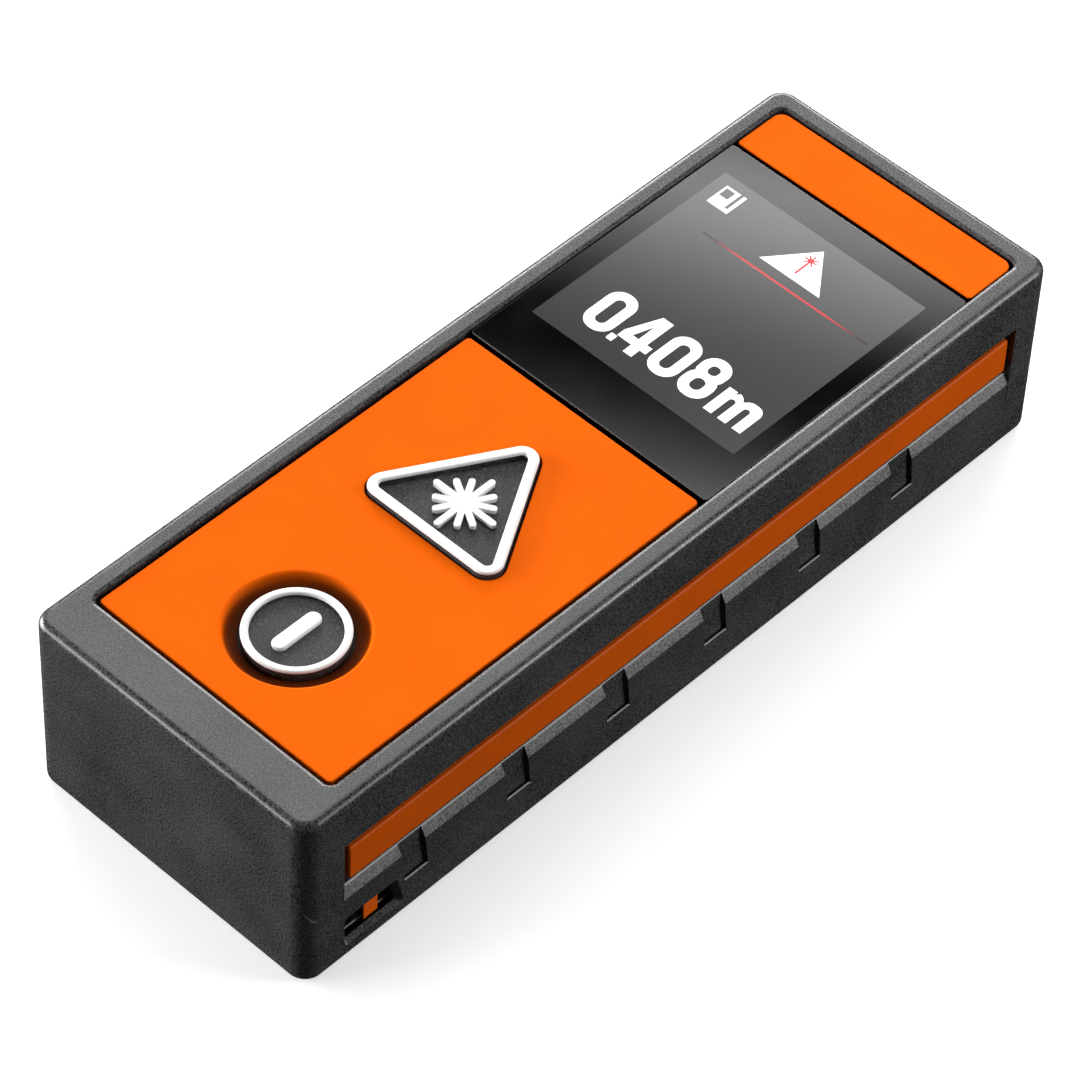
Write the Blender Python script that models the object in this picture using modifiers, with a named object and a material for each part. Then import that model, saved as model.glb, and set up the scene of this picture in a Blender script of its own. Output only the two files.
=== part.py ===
"""Pocket laser distance meter, modelled in metres with Z up.

X runs across the body, Y runs along it towards the laser end, and Z points out of the keypad.
The origin is the middle of the underside, so the meter stands on the plane Z = 0.
"""
from math import asin, cos, pi, radians, sin, sqrt

import bmesh
import bpy
from mathutils import Matrix, Vector

# Whole body
BODY_WIDTH = 0.0365
BODY_LENGTH = 0.1040
BODY_HEIGHT = 0.0228
CORNER_RADIUS = 0.0021
EDGE_FILLET = 0.0010
GAP = 0.0003  # clearance that is left between two neighbouring pieces

HALF_WIDTH = BODY_WIDTH / 2
HALF_LENGTH = BODY_LENGTH / 2
BEYOND = 0.001  # how far a cutter runs past the face that it opens

# Outer frame
FRAME_WALL = 0.00225
FRAME_INNER_X = HALF_WIDTH - FRAME_WALL
FRAME_INNER_Y = HALF_LENGTH - 0.0020
RIM_NEAR_Y = -0.0465
RIM_FAR_Y = 0.0495
SHELF_Z = 0.0204
FACE_Z = BODY_HEIGHT - 0.00025  # outer faces of the pieces set into the top

# Side windows, with their strips and grip notches
WINDOW_Y = (-0.0469, 0.0473)
WINDOW_Z = (0.01015, 0.01675)
WINDOW_DEPTH = 0.0013
CHAMFER_DEPTH = 0.0006
CHAMFER_FOOT_DEPTH = 0.00008
CHAMFER_FOOT_Z = 0.00875
SLOPE_FOOT_Z = 0.0016
SLOPE_RUNOUT = 0.00002  # how far the slope has left the wall at its foot
STRIP_DEPTH = (0.0003, 0.0009)
STRIP_Y = (-0.0460, 0.0467)
STRIP_Z = (0.01095, 0.01535)
NOTCH_COUNT = 6
NOTCH_PITCH = 0.01376
NOTCH_FIRST_Y = -0.0374
NOTCH_WIDTH = 0.0031
NOTCH_FOOT_DEPTH = 0.00045
NOTCH_HEAD_DEPTH = 0.00066
NOTCH_FOOT_Z = 0.00485
NOTCH_LEAN = 0.1  # how far each notch leans back towards the near end, per unit of height

# Lanyard recess in the right-hand wall
LANYARD_Y = (-0.04685, -0.0390)
LANYARD_HEAD_Y = -0.0399  # where the slanted far end of the opening meets its top
LANYARD_Z = (0.00195, 0.0059)
LANYARD_POCKET_Z = (0.0030, 0.0049)
LANYARD_FLOOR_X = 0.0128
LANYARD_BAR_X = (0.0160, 0.01735)
LANYARD_BAR_Y = -0.04255
LANYARD_BAR_WIDTH = 0.0018

# Inner housings
HOUSING_X = FRAME_INNER_X - GAP
HOUSING_Y = FRAME_INNER_Y - GAP
HOUSING_WALL = 0.0012
REAR_HOUSING_Z = (0.0023, 0.0138)
FRONT_HOUSING_Z = (0.0141, 0.0196)
FRONT_PLATE_Z = 0.0184
BAY_X = 0.0112
BAY_Y = (-0.0485, 0.0022)
BAY_ROOF_Z = 0.0130
OPTICS_POCKET_Y = 0.0038
OPTICS_FLOOR_Z = 0.0035
BOSS_RADIUS = 0.0023
BOSS_PLACES = [(x, y) for y in (-0.0345, 0.0462) for x in (-0.0136, 0.0136)]

# Rear cover and battery door
COVER_THICKNESS = 0.0020
DOOR_X = 0.0109
DOOR_THICKNESS = 0.0018
DOOR_BOTTOM_Z = 0.0001
DOOR_NEAR_Y = -0.0470
DOOR_AXIS_Y = 0.0004
DOOR_AXIS_Z = DOOR_BOTTOM_Z + DOOR_THICKNESS / 2

# Keypad panel, end cap, display window
PANEL_X = 0.0155
PANEL_Y = (-0.0461, 0.0032)
PANEL_THICKNESS = 0.0012
SKIRT_WALL = 0.0010
SKIRT_FOOT_Z = FRONT_HOUSING_Z[1] + GAP
WINDOW_GLASS_X = 0.0157
WINDOW_GLASS_Y = (0.0038, 0.0419)
CAP_Y = (0.0424, 0.0491)

# Display
LCD_X = 0.0137
LCD_Y = (0.0079, 0.0403)
LCD_Z = (0.0190, 0.0208)
BACKLIGHT_Z = (0.0176, 0.0187)

# Measure button: a rounded triangle pointing along +Y
MEASURE_AT = (0.0, -0.0130)
TRIANGLE_SIDE = 0.0195
TRIANGLE_RADIUS = 0.0017
RIM_WIDTH = 0.00125
MEASURE_TOP_Z = 0.0232
MEASURE_SHOULDER_Z = 0.0223
MEASURE_FACE_Z = 0.02275
MEASURE_TRAVEL = 0.0006
STAR_RAYS = 12
STAR_RAY_WIDTH = 0.00085
STAR_HUB_RADIUS = 0.00172
STAR_RAY_LENGTHS = (0.0042, 0.0033, 0.0033)
STAR_THICKNESS = 0.00018

# Power button: a round button in a dish
POWER_AT = (0.0, -0.0352)
POWER_RADIUS = 0.00555
POWER_RING_INNER = 0.004375
POWER_TOP_Z = 0.0225
POWER_SHOULDER_Z = 0.0216
POWER_FACE_Z = 0.02195
POWER_BAR = (0.0016, 0.0059)
POWER_TRAVEL = 0.0005
DISH_RADIUS = 0.0070
DISH_DEPTH = 0.0008

# What both buttons share
FLANGE_Z = (0.02035, 0.02105)
STEM_RADIUS = 0.0020
STEM_FOOT_Z = 0.0182
STEM_CLEARANCE = 0.0004

# Circuit board and switches
BOARD_X = 0.0140
BOARD_Y = (-0.0440, 0.0055)
BOARD_Z = (0.0141, 0.0151)
MAT_Z = (0.0173, 0.0180)
SWITCH_SIZE = 0.0060
SWITCH_Z = (0.0154, 0.0170)
PLUNGER_RADIUS = 0.0012
PLUNGER_Z = (0.0160, 0.0179)
BOARD_SCREW_PLACES = [(-0.0118, -0.0415), (0.0118, 0.0030)]

# Optics
OPTICS_X = 0.0138
OPTICS_Y = (0.0105, 0.0482)
OPTICS_Z = (0.0038, 0.0170)
NOSE_X = 0.0125
NOSE_Y = 0.0499
AXIS_Z = 0.0107
RECEIVER_X = 0.0045
LASER_X = -0.0073
LENS_RADIUS = 0.0056
OPTICS_SCREW_PLACES = [(-0.0015, 0.0150), (0.0113, 0.0150)]

# Front bezel at the laser end
BEZEL_X = 0.0131
BEZEL_Y = (0.0503, 0.0515)
BEZEL_Z = (0.0039, 0.0175)
BEZEL_RADIUS = 0.0020

# Batteries: two AAA cells, side by side, one turned round
CELL_RADIUS = 0.0052
CELL_LENGTH = 0.0445
CELL_NUB = 0.0009
CELL_X = 0.00555
CELL_Z = 0.00745
CONTACT_THICKNESS = 0.0003
CONTACT_Z = (0.0035, 0.0118)

# Screws
SCREW_RADIUS = 0.0009
SCREW_HEAD_RADIUS = 0.0018
SCREW_HOLE_RADIUS = SCREW_RADIUS + GAP

ROUND_STEPS = 32
SMALL_ROUND_STEPS = 20

parts = None
cutters = None


# ---------------------------------------------------------------- scene and materials

def clear_scene():
    """Remove every object, and make the collections for the parts and their cutters."""
    for old in list(bpy.data.objects):
        bpy.data.objects.remove(old, do_unlink=True)
    made = []
    for name in ("laser_distance_meter", "cutters"):
        collection = bpy.data.collections.new(name)
        bpy.context.scene.collection.children.link(collection)
        made.append(collection)
    return made


def material(name, colour, roughness, metallic=0.0):
    """A Principled material, made once and then shared by name."""
    found = bpy.data.materials.get(name)
    if found:
        return found
    made = bpy.data.materials.new(name)
    made.use_nodes = True
    shader = made.node_tree.nodes["Principled BSDF"]
    shader.inputs["Base Color"].default_value = (*colour, 1.0)
    shader.inputs["Roughness"].default_value = roughness
    shader.inputs["Metallic"].default_value = metallic
    made.diffuse_color = (*colour, 1.0)
    return made


def charcoal():
    return material("charcoal_moulding", (0.045, 0.045, 0.048), 0.62)


def orange():
    return material("orange_moulding", (0.90, 0.15, 0.008), 0.45)


def white():
    return material("white_moulding", (0.85, 0.85, 0.84), 0.40)


def black():
    return material("black_plastic", (0.012, 0.012, 0.013), 0.35)


def glass():
    return material("clear_glass", (0.20, 0.23, 0.26), 0.05)


def display_glass():
    return material("display_glass", (0.010, 0.011, 0.013), 0.06)


def rubber():
    return material("silicone_rubber", (0.05, 0.05, 0.055), 0.80)


def board_green():
    return material("circuit_board", (0.02, 0.16, 0.07), 0.50)


def steel():
    return material("steel", (0.55, 0.55, 0.56), 0.30, 1.0)


def brass():
    return material("brass", (0.70, 0.50, 0.20), 0.30, 1.0)


def aluminium():
    return material("aluminium", (0.62, 0.63, 0.65), 0.35, 1.0)


def battery_skin():
    return material("battery_sleeve", (0.10, 0.12, 0.16), 0.35, 0.4)


# ---------------------------------------------------------------- outlines

def round_rectangle(u_range, v_range, radius, steps=5):
    """Anticlockwise outline of a rectangle with round corners."""
    (u0, u1), (v0, v1) = u_range, v_range
    corners = ((u1 - radius, v0 + radius), (u1 - radius, v1 - radius),
               (u0 + radius, v1 - radius), (u0 + radius, v0 + radius))
    outline = []
    for quarter, (u, v) in enumerate(corners):
        for step in range(steps + 1):
            angle = (quarter - 1 + step / steps) * pi / 2
            outline.append((u + radius * cos(angle), v + radius * sin(angle)))
    return outline


def circle(centre, radius, steps=ROUND_STEPS):
    """Anticlockwise outline of a circle."""
    angles = [2 * pi * step / steps for step in range(steps)]
    return [(centre[0] + radius * cos(a), centre[1] + radius * sin(a)) for a in angles]


def round_triangle(centre, grow=0.0, steps=8):
    """Outline of the measure button's triangle, grown outwards by a distance."""
    radius = TRIANGLE_RADIUS + grow
    reach = TRIANGLE_SIDE / sqrt(3) - 2 * TRIANGLE_RADIUS
    outline = []
    for corner in range(3):
        towards = pi / 2 + corner * 2 * pi / 3
        u = centre[0] + reach * cos(towards)
        v = centre[1] + reach * sin(towards)
        for step in range(steps + 1):
            angle = towards + (step / steps - 0.5) * 2 * pi / 3
            outline.append((u + radius * cos(angle), v + radius * sin(angle)))
    return outline


def starburst(centre, steps=4):
    """Outline of a hub with round-ended rays, every third ray a long one."""
    half = STAR_RAY_WIDTH / 2
    foot = asin(half / STAR_HUB_RADIUS)
    outline = []
    for ray in range(STAR_RAYS):
        towards = ray * 2 * pi / STAR_RAYS
        tip = STAR_RAY_LENGTHS[ray % 3] - half
        local = [(STAR_HUB_RADIUS * cos(foot), -half)]
        for step in range(steps + 1):
            angle = (step / steps - 0.5) * pi
            local.append((tip + half * cos(angle), half * sin(angle)))
        local.append((STAR_HUB_RADIUS * cos(foot), half))
        for along, across in local:
            outline.append((centre[0] + along * cos(towards) - across * sin(towards),
                            centre[1] + along * sin(towards) + across * cos(towards)))
    return outline


# ---------------------------------------------------------------- solids

def add(name, mesh, skin):
    """Put a mesh in the collection of parts, with its material and shading."""
    piece = bpy.data.objects.new(name, mesh)
    parts.objects.link(piece)
    mesh.materials.clear()
    mesh.materials.append(skin)
    mesh.shade_smooth()
    mesh.set_sharp_from_angle(angle=radians(35))
    return piece


def plate(name, outlines, low, high, skin, facing="Z"):
    """A flat outline, with any holes, made thick from low to high along the facing axis.

    Outlines are in (X, Y) for a plate facing Z, (X, Z) for one facing Y and (Y, Z) for X.
    """
    curve = bpy.data.curves.new(name, "CURVE")
    curve.dimensions = "2D"
    curve.fill_mode = "BOTH"
    curve.extrude = (high - low) / 2
    for outline in outlines:
        spline = curve.splines.new("POLY")
        spline.points.add(len(outline) - 1)
        for point, (u, v) in zip(spline.points, outline):
            point.co = (u, v, 0, 1)
        spline.use_cyclic_u = True
    drawing = bpy.data.objects.new(name, curve)
    parts.objects.link(drawing)
    bpy.context.view_layer.update()
    graph = bpy.context.evaluated_depsgraph_get()
    mesh = bpy.data.meshes.new_from_object(drawing.evaluated_get(graph))
    bpy.data.objects.remove(drawing)
    middle = (low + high) / 2
    turns = {
        "Z": Matrix.Translation((0, 0, middle)),
        "Y": Matrix.Translation((0, middle, 0)) @ Matrix.Rotation(pi / 2, 4, "X"),
        "X": Matrix(((0, 0, 1, middle), (1, 0, 0, 0), (0, 1, 0, 0), (0, 0, 0, 1))),
    }
    body = bmesh.new()
    body.from_mesh(mesh)
    bmesh.ops.remove_doubles(body, verts=body.verts, dist=1e-6)
    bmesh.ops.dissolve_limit(body, angle_limit=radians(0.5), verts=body.verts, edges=body.edges)
    bmesh.ops.transform(body, matrix=turns[facing], verts=body.verts)
    bmesh.ops.recalc_face_normals(body, faces=body.faces)
    body.to_mesh(mesh)
    body.free()
    return add(name, mesh, skin)


def box(name, x, y, z, skin):
    """A block between two values on each axis."""
    body = bmesh.new()
    bmesh.ops.create_cube(body, size=1)
    size = Vector((x[1] - x[0], y[1] - y[0], z[1] - z[0]))
    middle = Vector((x[0] + x[1], y[0] + y[1], z[0] + z[1])) / 2
    bmesh.ops.transform(body, matrix=Matrix.Diagonal((*size, 1)), verts=body.verts)
    bmesh.ops.translate(body, vec=middle, verts=body.verts)
    mesh = bpy.data.meshes.new(name)
    body.to_mesh(mesh)
    body.free()
    return add(name, mesh, skin)


def turned(name, profile, centre, skin, along="Z", steps=ROUND_STEPS, tube=False):
    """A profile of (radius, height) pairs, top to bottom, turned about an axis by Screw."""
    body = bmesh.new()
    points = [body.verts.new((radius, 0, height)) for radius, height in profile]
    pairs = list(zip(points, points[1:]))
    if tube:
        pairs.append((points[-1], points[0]))
    for start, end in pairs:
        body.edges.new((start, end))
    mesh = bpy.data.meshes.new(name)
    body.to_mesh(mesh)
    body.free()
    piece = add(name, mesh, skin)
    screw = piece.modifiers.new("turn", "SCREW")
    screw.steps = steps
    screw.render_steps = steps
    screw.use_merge_vertices = True
    screw.merge_threshold = 1e-6
    piece.location = centre
    if along == "Y":
        piece.rotation_euler = (-pi / 2, 0, 0)
    return piece


def cylinder(name, radius, low, high, centre, skin, along="Z", steps=ROUND_STEPS):
    """A plain round bar from low to high along its axis, through centre."""
    profile = [(0, high), (radius, high), (radius, low), (0, low)]
    return turned(name, profile, centre, skin, along, steps)


def cutter(piece):
    """Turn a piece into a hidden tool for Boolean modifiers."""
    parts.objects.unlink(piece)
    cutters.objects.link(piece)
    piece.hide_render = True
    piece.display_type = "WIRE"
    return piece


def boolean(piece, tools, operation):
    for tool in tools:
        modifier = piece.modifiers.new(operation.lower(), "BOOLEAN")
        modifier.operation = operation
        modifier.solver = "EXACT"
        modifier.object = cutter(tool)
    return piece


def carve(piece, *tools):
    return boolean(piece, tools, "DIFFERENCE")


def fuse(piece, *tools):
    return boolean(piece, tools, "UNION")


def soften(piece, width, segments=2, above=50):
    """Bevel the edges that turn by more than an angle."""
    bevel = piece.modifiers.new("soften", "BEVEL")
    bevel.width = width
    bevel.segments = segments
    bevel.limit_method = "ANGLE"
    bevel.angle_limit = radians(above)
    return piece


def pivot(name, place, *pieces):
    """Parent pieces to an empty on their joint's axis, leaving them where they are."""
    empty = bpy.data.objects.new(name, None)
    empty.empty_display_size = 0.004
    empty.location = place
    parts.objects.link(empty)
    for piece in pieces:
        piece.parent = empty
        piece.matrix_parent_inverse = Matrix.Translation(place).inverted()


# ---------------------------------------------------------------- casing

def side_window_cutter(side):
    """The recess in one side wall, the chamfer below it, and the gently sloped grip wall."""
    outer = HALF_WIDTH + BEYOND
    section = [
        (outer, WINDOW_Z[1]),
        (HALF_WIDTH - WINDOW_DEPTH, WINDOW_Z[1]),
        (HALF_WIDTH - WINDOW_DEPTH, WINDOW_Z[0]),
        (HALF_WIDTH - CHAMFER_DEPTH, WINDOW_Z[0]),
        (HALF_WIDTH - CHAMFER_FOOT_DEPTH, CHAMFER_FOOT_Z),
        (HALF_WIDTH + SLOPE_RUNOUT, SLOPE_FOOT_Z),
        (outer, SLOPE_FOOT_Z),
    ]
    section = [(side * u, v) for u, v in section]
    return plate("window_cutter", [section], *WINDOW_Y, black(), "Y")


def notch_cutter(side, index):
    """One grip notch below the side window, with a floor that leans in towards its top."""
    outer = HALF_WIDTH + BEYOND
    head_z = WINDOW_Z[0] + 0.0004
    section = [(HALF_WIDTH - NOTCH_FOOT_DEPTH, NOTCH_FOOT_Z), (outer, NOTCH_FOOT_Z),
               (outer, head_z), (HALF_WIDTH - NOTCH_HEAD_DEPTH, head_z)]
    middle = NOTCH_FIRST_Y + index * NOTCH_PITCH
    cutter = plate("notch_cutter", [[(side * u, v) for u, v in section]],
                   middle - NOTCH_WIDTH / 2, middle + NOTCH_WIDTH / 2, black(), "Y")
    lean = Matrix.Identity(4)
    lean[1][2] = -NOTCH_LEAN
    lean[1][3] = NOTCH_LEAN * NOTCH_FOOT_Z
    cutter.data.transform(lean)
    return cutter


def make_outer_frame():
    """The charcoal case: four walls and a rim round the top, open below."""
    outline = round_rectangle((-HALF_WIDTH, HALF_WIDTH), (-HALF_LENGTH, HALF_LENGTH),
                              CORNER_RADIUS, 6)
    frame = plate("outer_frame", [outline], 0, BODY_HEIGHT, charcoal())
    soften(frame, EDGE_FILLET, 3)
    hollow = round_rectangle((-FRAME_INNER_X, FRAME_INNER_X),
                             (-FRAME_INNER_Y, FRAME_INNER_Y), 0.0010, 3)
    mouth = round_rectangle((-FRAME_INNER_X, FRAME_INNER_X), (RIM_NEAR_Y, RIM_FAR_Y), 0.0010, 3)
    carve(frame, plate("hollow_cutter", [hollow], -BEYOND, SHELF_Z, black()))
    carve(frame, plate("mouth_cutter", [mouth], SHELF_Z - BEYOND, BODY_HEIGHT + BEYOND, black()))
    for side in (-1, 1):
        carve(frame, side_window_cutter(side))
        for index in range(NOTCH_COUNT):
            carve(frame, notch_cutter(side, index))
    lanyard = [(LANYARD_Y[0], LANYARD_Z[0]), (LANYARD_Y[1], LANYARD_Z[0]),
               (LANYARD_HEAD_Y, LANYARD_Z[1]), (LANYARD_Y[0], LANYARD_Z[1])]
    carve(frame, plate("lanyard_cutter", [lanyard], FRAME_INNER_X - BEYOND,
                       HALF_WIDTH + BEYOND, black(), "X"))
    optics = round_rectangle((-BEZEL_X - GAP, BEZEL_X + GAP),
                             (BEZEL_Z[0] - GAP, BEZEL_Z[1] + GAP), BEZEL_RADIUS + GAP, 4)
    carve(frame, plate("optics_cutter", [optics], FRAME_INNER_Y - BEYOND,
                       HALF_LENGTH + BEYOND, black(), "Y"))


def make_side_strips():
    """Orange strips set into the two side windows, bevelled all round."""
    for name, side in (("side_strip_right", 1), ("side_strip_left", -1)):
        reach = sorted(side * (HALF_WIDTH - depth) for depth in STRIP_DEPTH)
        outline = round_rectangle(STRIP_Y, STRIP_Z, 0.0003, 2)
        soften(plate(name, [outline], *reach, orange(), "X"), 0.0002, 1)


def make_rear_housing():
    """The lower inner housing: battery bay below, optics pocket above."""
    outline = round_rectangle((-HOUSING_X, HOUSING_X), (-HOUSING_Y, HOUSING_Y), 0.0007, 3)
    housing = plate("rear_housing", [outline], *REAR_HOUSING_Z, orange())
    inner_x = HOUSING_X - HOUSING_WALL
    bay = box("bay_cutter", (-BAY_X, BAY_X), BAY_Y, (0, BAY_ROOF_Z), black())
    pocket = box("pocket_cutter", (-inner_x, inner_x), (OPTICS_POCKET_Y, HOUSING_Y - HOUSING_WALL),
                 (OPTICS_FLOOR_Z, REAR_HOUSING_Z[1] + BEYOND), black())
    doorway = box("doorway_cutter", (-NOSE_X - GAP, NOSE_X + GAP),
                  (HOUSING_Y - HOUSING_WALL - BEYOND, HOUSING_Y + BEYOND),
                  (OPTICS_Z[0] - GAP, REAR_HOUSING_Z[1] + BEYOND), black())
    carve(housing, bay, pocket, doorway)
    far_bosses = [place for place in BOSS_PLACES if place[1] > 0]
    for x, y in far_bosses:
        fuse(housing, plate("boss", [circle((x, y), BOSS_RADIUS, SMALL_ROUND_STEPS)],
                            REAR_HOUSING_Z[0] + 0.0001, REAR_HOUSING_Z[1] - 0.0001, orange()))
    for side in (-1, 1):
        reach = sorted((side * (BAY_X + HOUSING_WALL), side * inner_x))
        carve(housing, box("channel_cutter", reach, (-0.0310, 0.0020),
                           (OPTICS_FLOOR_Z, REAR_HOUSING_Z[1] + BEYOND), black()))
    carve(housing, box("lanyard_cutter", (LANYARD_FLOOR_X, HOUSING_X + BEYOND),
                       (LANYARD_Y[0], LANYARD_HEAD_Y), LANYARD_POCKET_Z, black()))
    fuse(housing, lanyard_bar())
    for x, y in BOSS_PLACES:
        carve(housing, cylinder("boss_bore", SCREW_HOLE_RADIUS, 0, REAR_HOUSING_Z[1] + BEYOND,
                                (x, y, 0), black(), steps=SMALL_ROUND_STEPS))
    for x, y in BOARD_SCREW_PLACES:
        carve(housing, cylinder("board_bore", SCREW_HOLE_RADIUS, 0.0115,
                                REAR_HOUSING_Z[1] + BEYOND, (x, y, 0), black(),
                                steps=SMALL_ROUND_STEPS))
    for x, y in OPTICS_SCREW_PLACES:
        carve(housing, cylinder("optics_bore", SCREW_HOLE_RADIUS, 0, OPTICS_FLOOR_Z + BEYOND,
                                (x, y, 0), black(), steps=SMALL_ROUND_STEPS))


def lanyard_bar():
    """The staple that a wrist strap loops round: an upright bar on two legs."""
    low, high = LANYARD_Z[0] + GAP, LANYARD_Z[1] - GAP
    root = HOUSING_X - HOUSING_WALL / 2
    section = [(root, low), (LANYARD_BAR_X[1], low), (LANYARD_BAR_X[1], high), (root, high),
               (root, LANYARD_POCKET_Z[1] + 0.0001), (LANYARD_BAR_X[0], LANYARD_POCKET_Z[1] + 0.0001),
               (LANYARD_BAR_X[0], LANYARD_POCKET_Z[0] - 0.0001), (root, LANYARD_POCKET_Z[0] - 0.0001)]
    half = LANYARD_BAR_WIDTH / 2
    return plate("lanyard_bar", [section], LANYARD_BAR_Y - half, LANYARD_BAR_Y + half, orange(), "Y")


def make_front_housing():
    """The upper inner housing: a plate under the keypad and display, with a skirt."""
    outline = round_rectangle((-HOUSING_X, HOUSING_X), (-HOUSING_Y, HOUSING_Y), 0.0007, 3)
    housing = plate("front_housing", [outline], *FRONT_HOUSING_Z, black())
    inner_x = HOUSING_X - HOUSING_WALL
    inner_y = HOUSING_Y - HOUSING_WALL
    hollow = box("hollow_cutter", (-inner_x, inner_x), (-inner_y, inner_y),
                 (FRONT_HOUSING_Z[0] - BEYOND, FRONT_PLATE_Z), black())
    display = box("display_cutter", (-LCD_X - GAP, LCD_X + GAP),
                  (LCD_Y[0] - GAP, LCD_Y[1] + GAP),
                  (FRONT_PLATE_Z - BEYOND, FRONT_HOUSING_Z[1] + BEYOND), black())
    doorway = box("doorway_cutter", (-NOSE_X - GAP, NOSE_X + GAP),
                  (inner_y - BEYOND, HOUSING_Y + BEYOND),
                  (FRONT_HOUSING_Z[0] - BEYOND, OPTICS_Z[1] + GAP), black())
    carve(housing, hollow, display, doorway)
    for x, y in (MEASURE_AT, POWER_AT):
        carve(housing, cylinder("stem_bore", STEM_RADIUS + STEM_CLEARANCE, FRONT_PLATE_Z - BEYOND,
                                FRONT_HOUSING_Z[1] + BEYOND, (x, y, 0), black(),
                                steps=SMALL_ROUND_STEPS))
    for x, y in BOSS_PLACES:
        fuse(housing, plate("boss", [circle((x, y), BOSS_RADIUS, SMALL_ROUND_STEPS)],
                            FRONT_HOUSING_Z[0] + 0.0001, FRONT_PLATE_Z + 0.0002, black()))
        carve(housing, cylinder("boss_bore", SCREW_HOLE_RADIUS, 0.0130, 0.0176, (x, y, 0), black(),
                                steps=SMALL_ROUND_STEPS))


def make_rear_cover():
    """The flat cover of the underside, with the battery opening and four counterbores."""
    outline = round_rectangle((-HOUSING_X, HOUSING_X), (-HOUSING_Y, HOUSING_Y), 0.0007, 3)
    opening = round_rectangle((-DOOR_X - GAP, DOOR_X + GAP),
                              (DOOR_NEAR_Y - GAP, DOOR_AXIS_Y + DOOR_THICKNESS / 2 + GAP),
                              0.0002, 1)
    cover = plate("rear_cover", [outline, opening], 0, COVER_THICKNESS, charcoal())
    for x, y in BOSS_PLACES:
        seat = [(0, COVER_THICKNESS + BEYOND), (SCREW_HOLE_RADIUS, COVER_THICKNESS + BEYOND),
                (SCREW_HOLE_RADIUS, 0.0013), (SCREW_HEAD_RADIUS + GAP, 0.0013),
                (SCREW_HEAD_RADIUS + GAP, -BEYOND), (0, -BEYOND)]
        carve(cover, turned("screw_seat", seat, (x, y, 0), black(), steps=SMALL_ROUND_STEPS))


def make_battery_door():
    """The door under the cells: a plate whose far edge is round about its hinge line."""
    radius = DOOR_THICKNESS / 2
    low = DOOR_BOTTOM_Z
    high = DOOR_BOTTOM_Z + DOOR_THICKNESS
    section = [(DOOR_AXIS_Y + radius * cos(a), DOOR_AXIS_Z + radius * sin(a))
               for a in [(step / 8 - 0.5) * pi for step in range(9)]]
    section += [(DOOR_NEAR_Y, high), (DOOR_NEAR_Y, low)]
    door = plate("battery_door", [section], -DOOR_X, DOOR_X, charcoal(), "X")
    tab = box("latch_tab", (-0.0022, 0.0022), (DOOR_NEAR_Y + 0.0001, DOOR_NEAR_Y + 0.0011),
              (high - 0.0002, high + 0.0012), charcoal())
    fuse(door, tab)
    for row in range(4):
        y = DOOR_NEAR_Y + 0.0045 + row * 0.0014
        carve(door, box("grip_cutter", (-0.0055, 0.0055), (y, y + 0.0007),
                        (low - BEYOND, low + 0.0004), black()))
    pivot("battery_door_axis", (0, DOOR_AXIS_Y, DOOR_AXIS_Z), door)


def screw(name, place, head_low, tip, pointing_up):
    """A pan-head screw, its head at head_low and its tip at the height tip."""
    head = 0.0008
    recess = 0.00045
    if pointing_up:
        profile = [(0, tip), (SCREW_RADIUS * 0.6, tip), (SCREW_RADIUS, tip - 0.0008),
                   (SCREW_RADIUS, head_low + head), (SCREW_HEAD_RADIUS, head_low + head),
                   (SCREW_HEAD_RADIUS, head_low + 0.0002),
                   (SCREW_HEAD_RADIUS - 0.0002, head_low), (0.0007, head_low),
                   (0.0005, head_low + recess), (0, head_low + recess)]
    else:
        top = head_low + head
        profile = [(0, top - recess), (0.0005, top - recess), (0.0007, top),
                   (SCREW_HEAD_RADIUS - 0.0002, top), (SCREW_HEAD_RADIUS, top - 0.0002),
                   (SCREW_HEAD_RADIUS, head_low), (SCREW_RADIUS, head_low),
                   (SCREW_RADIUS, tip + 0.0008), (SCREW_RADIUS * 0.6, tip), (0, tip)]
    return turned(name, profile, (*place, 0), steel(), steps=16)


def make_screws():
    for number, place in enumerate(BOSS_PLACES, 1):
        screw(f"rear_screw_{number}", place, 0.0002, 0.0170, True)
    for number, place in enumerate(BOARD_SCREW_PLACES, 1):
        screw(f"board_screw_{number}", place, BOARD_Z[1] + GAP, 0.0120, False)
    for number, place in enumerate(OPTICS_SCREW_PLACES, 1):
        screw(f"optics_screw_{number}", place, 0.0063, 0.0026, False)


# ---------------------------------------------------------------- keypad and display

def skirted_plate(name, x, y, radius, skin):
    """A plate with a skirt, like a shallow lid, let into the top of the case."""
    lid = plate(name, [round_rectangle((-x, x), y, radius, 3)], SKIRT_FOOT_Z, FACE_Z, skin)
    soften(lid, 0.00015, 1)
    inner_y = (y[0] + SKIRT_WALL, y[1] - SKIRT_WALL)
    carve(lid, box("lid_cutter", (-x + SKIRT_WALL, x - SKIRT_WALL), inner_y,
                   (SKIRT_FOOT_Z - BEYOND, FACE_Z - PANEL_THICKNESS), black()))
    return lid


def make_keypad_panel():
    panel = skirted_plate("keypad_panel", PANEL_X, PANEL_Y, 0.0004, orange())
    low, high = FACE_Z - PANEL_THICKNESS - BEYOND, FACE_Z + BEYOND
    carve(panel, plate("triangle_cutter", [round_triangle(MEASURE_AT, GAP)], low, high, black()))
    hole = POWER_RADIUS + GAP
    dish = [(0, high), (DISH_RADIUS, high), (DISH_RADIUS, FACE_Z),
            (hole, FACE_Z - DISH_DEPTH), (hole, low), (0, low)]
    carve(panel, turned("dish_cutter", dish, (*POWER_AT, 0), black()))


def make_end_cap():
    skirted_plate("end_cap", PANEL_X + 0.0001, CAP_Y, 0.0010, orange())


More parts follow.
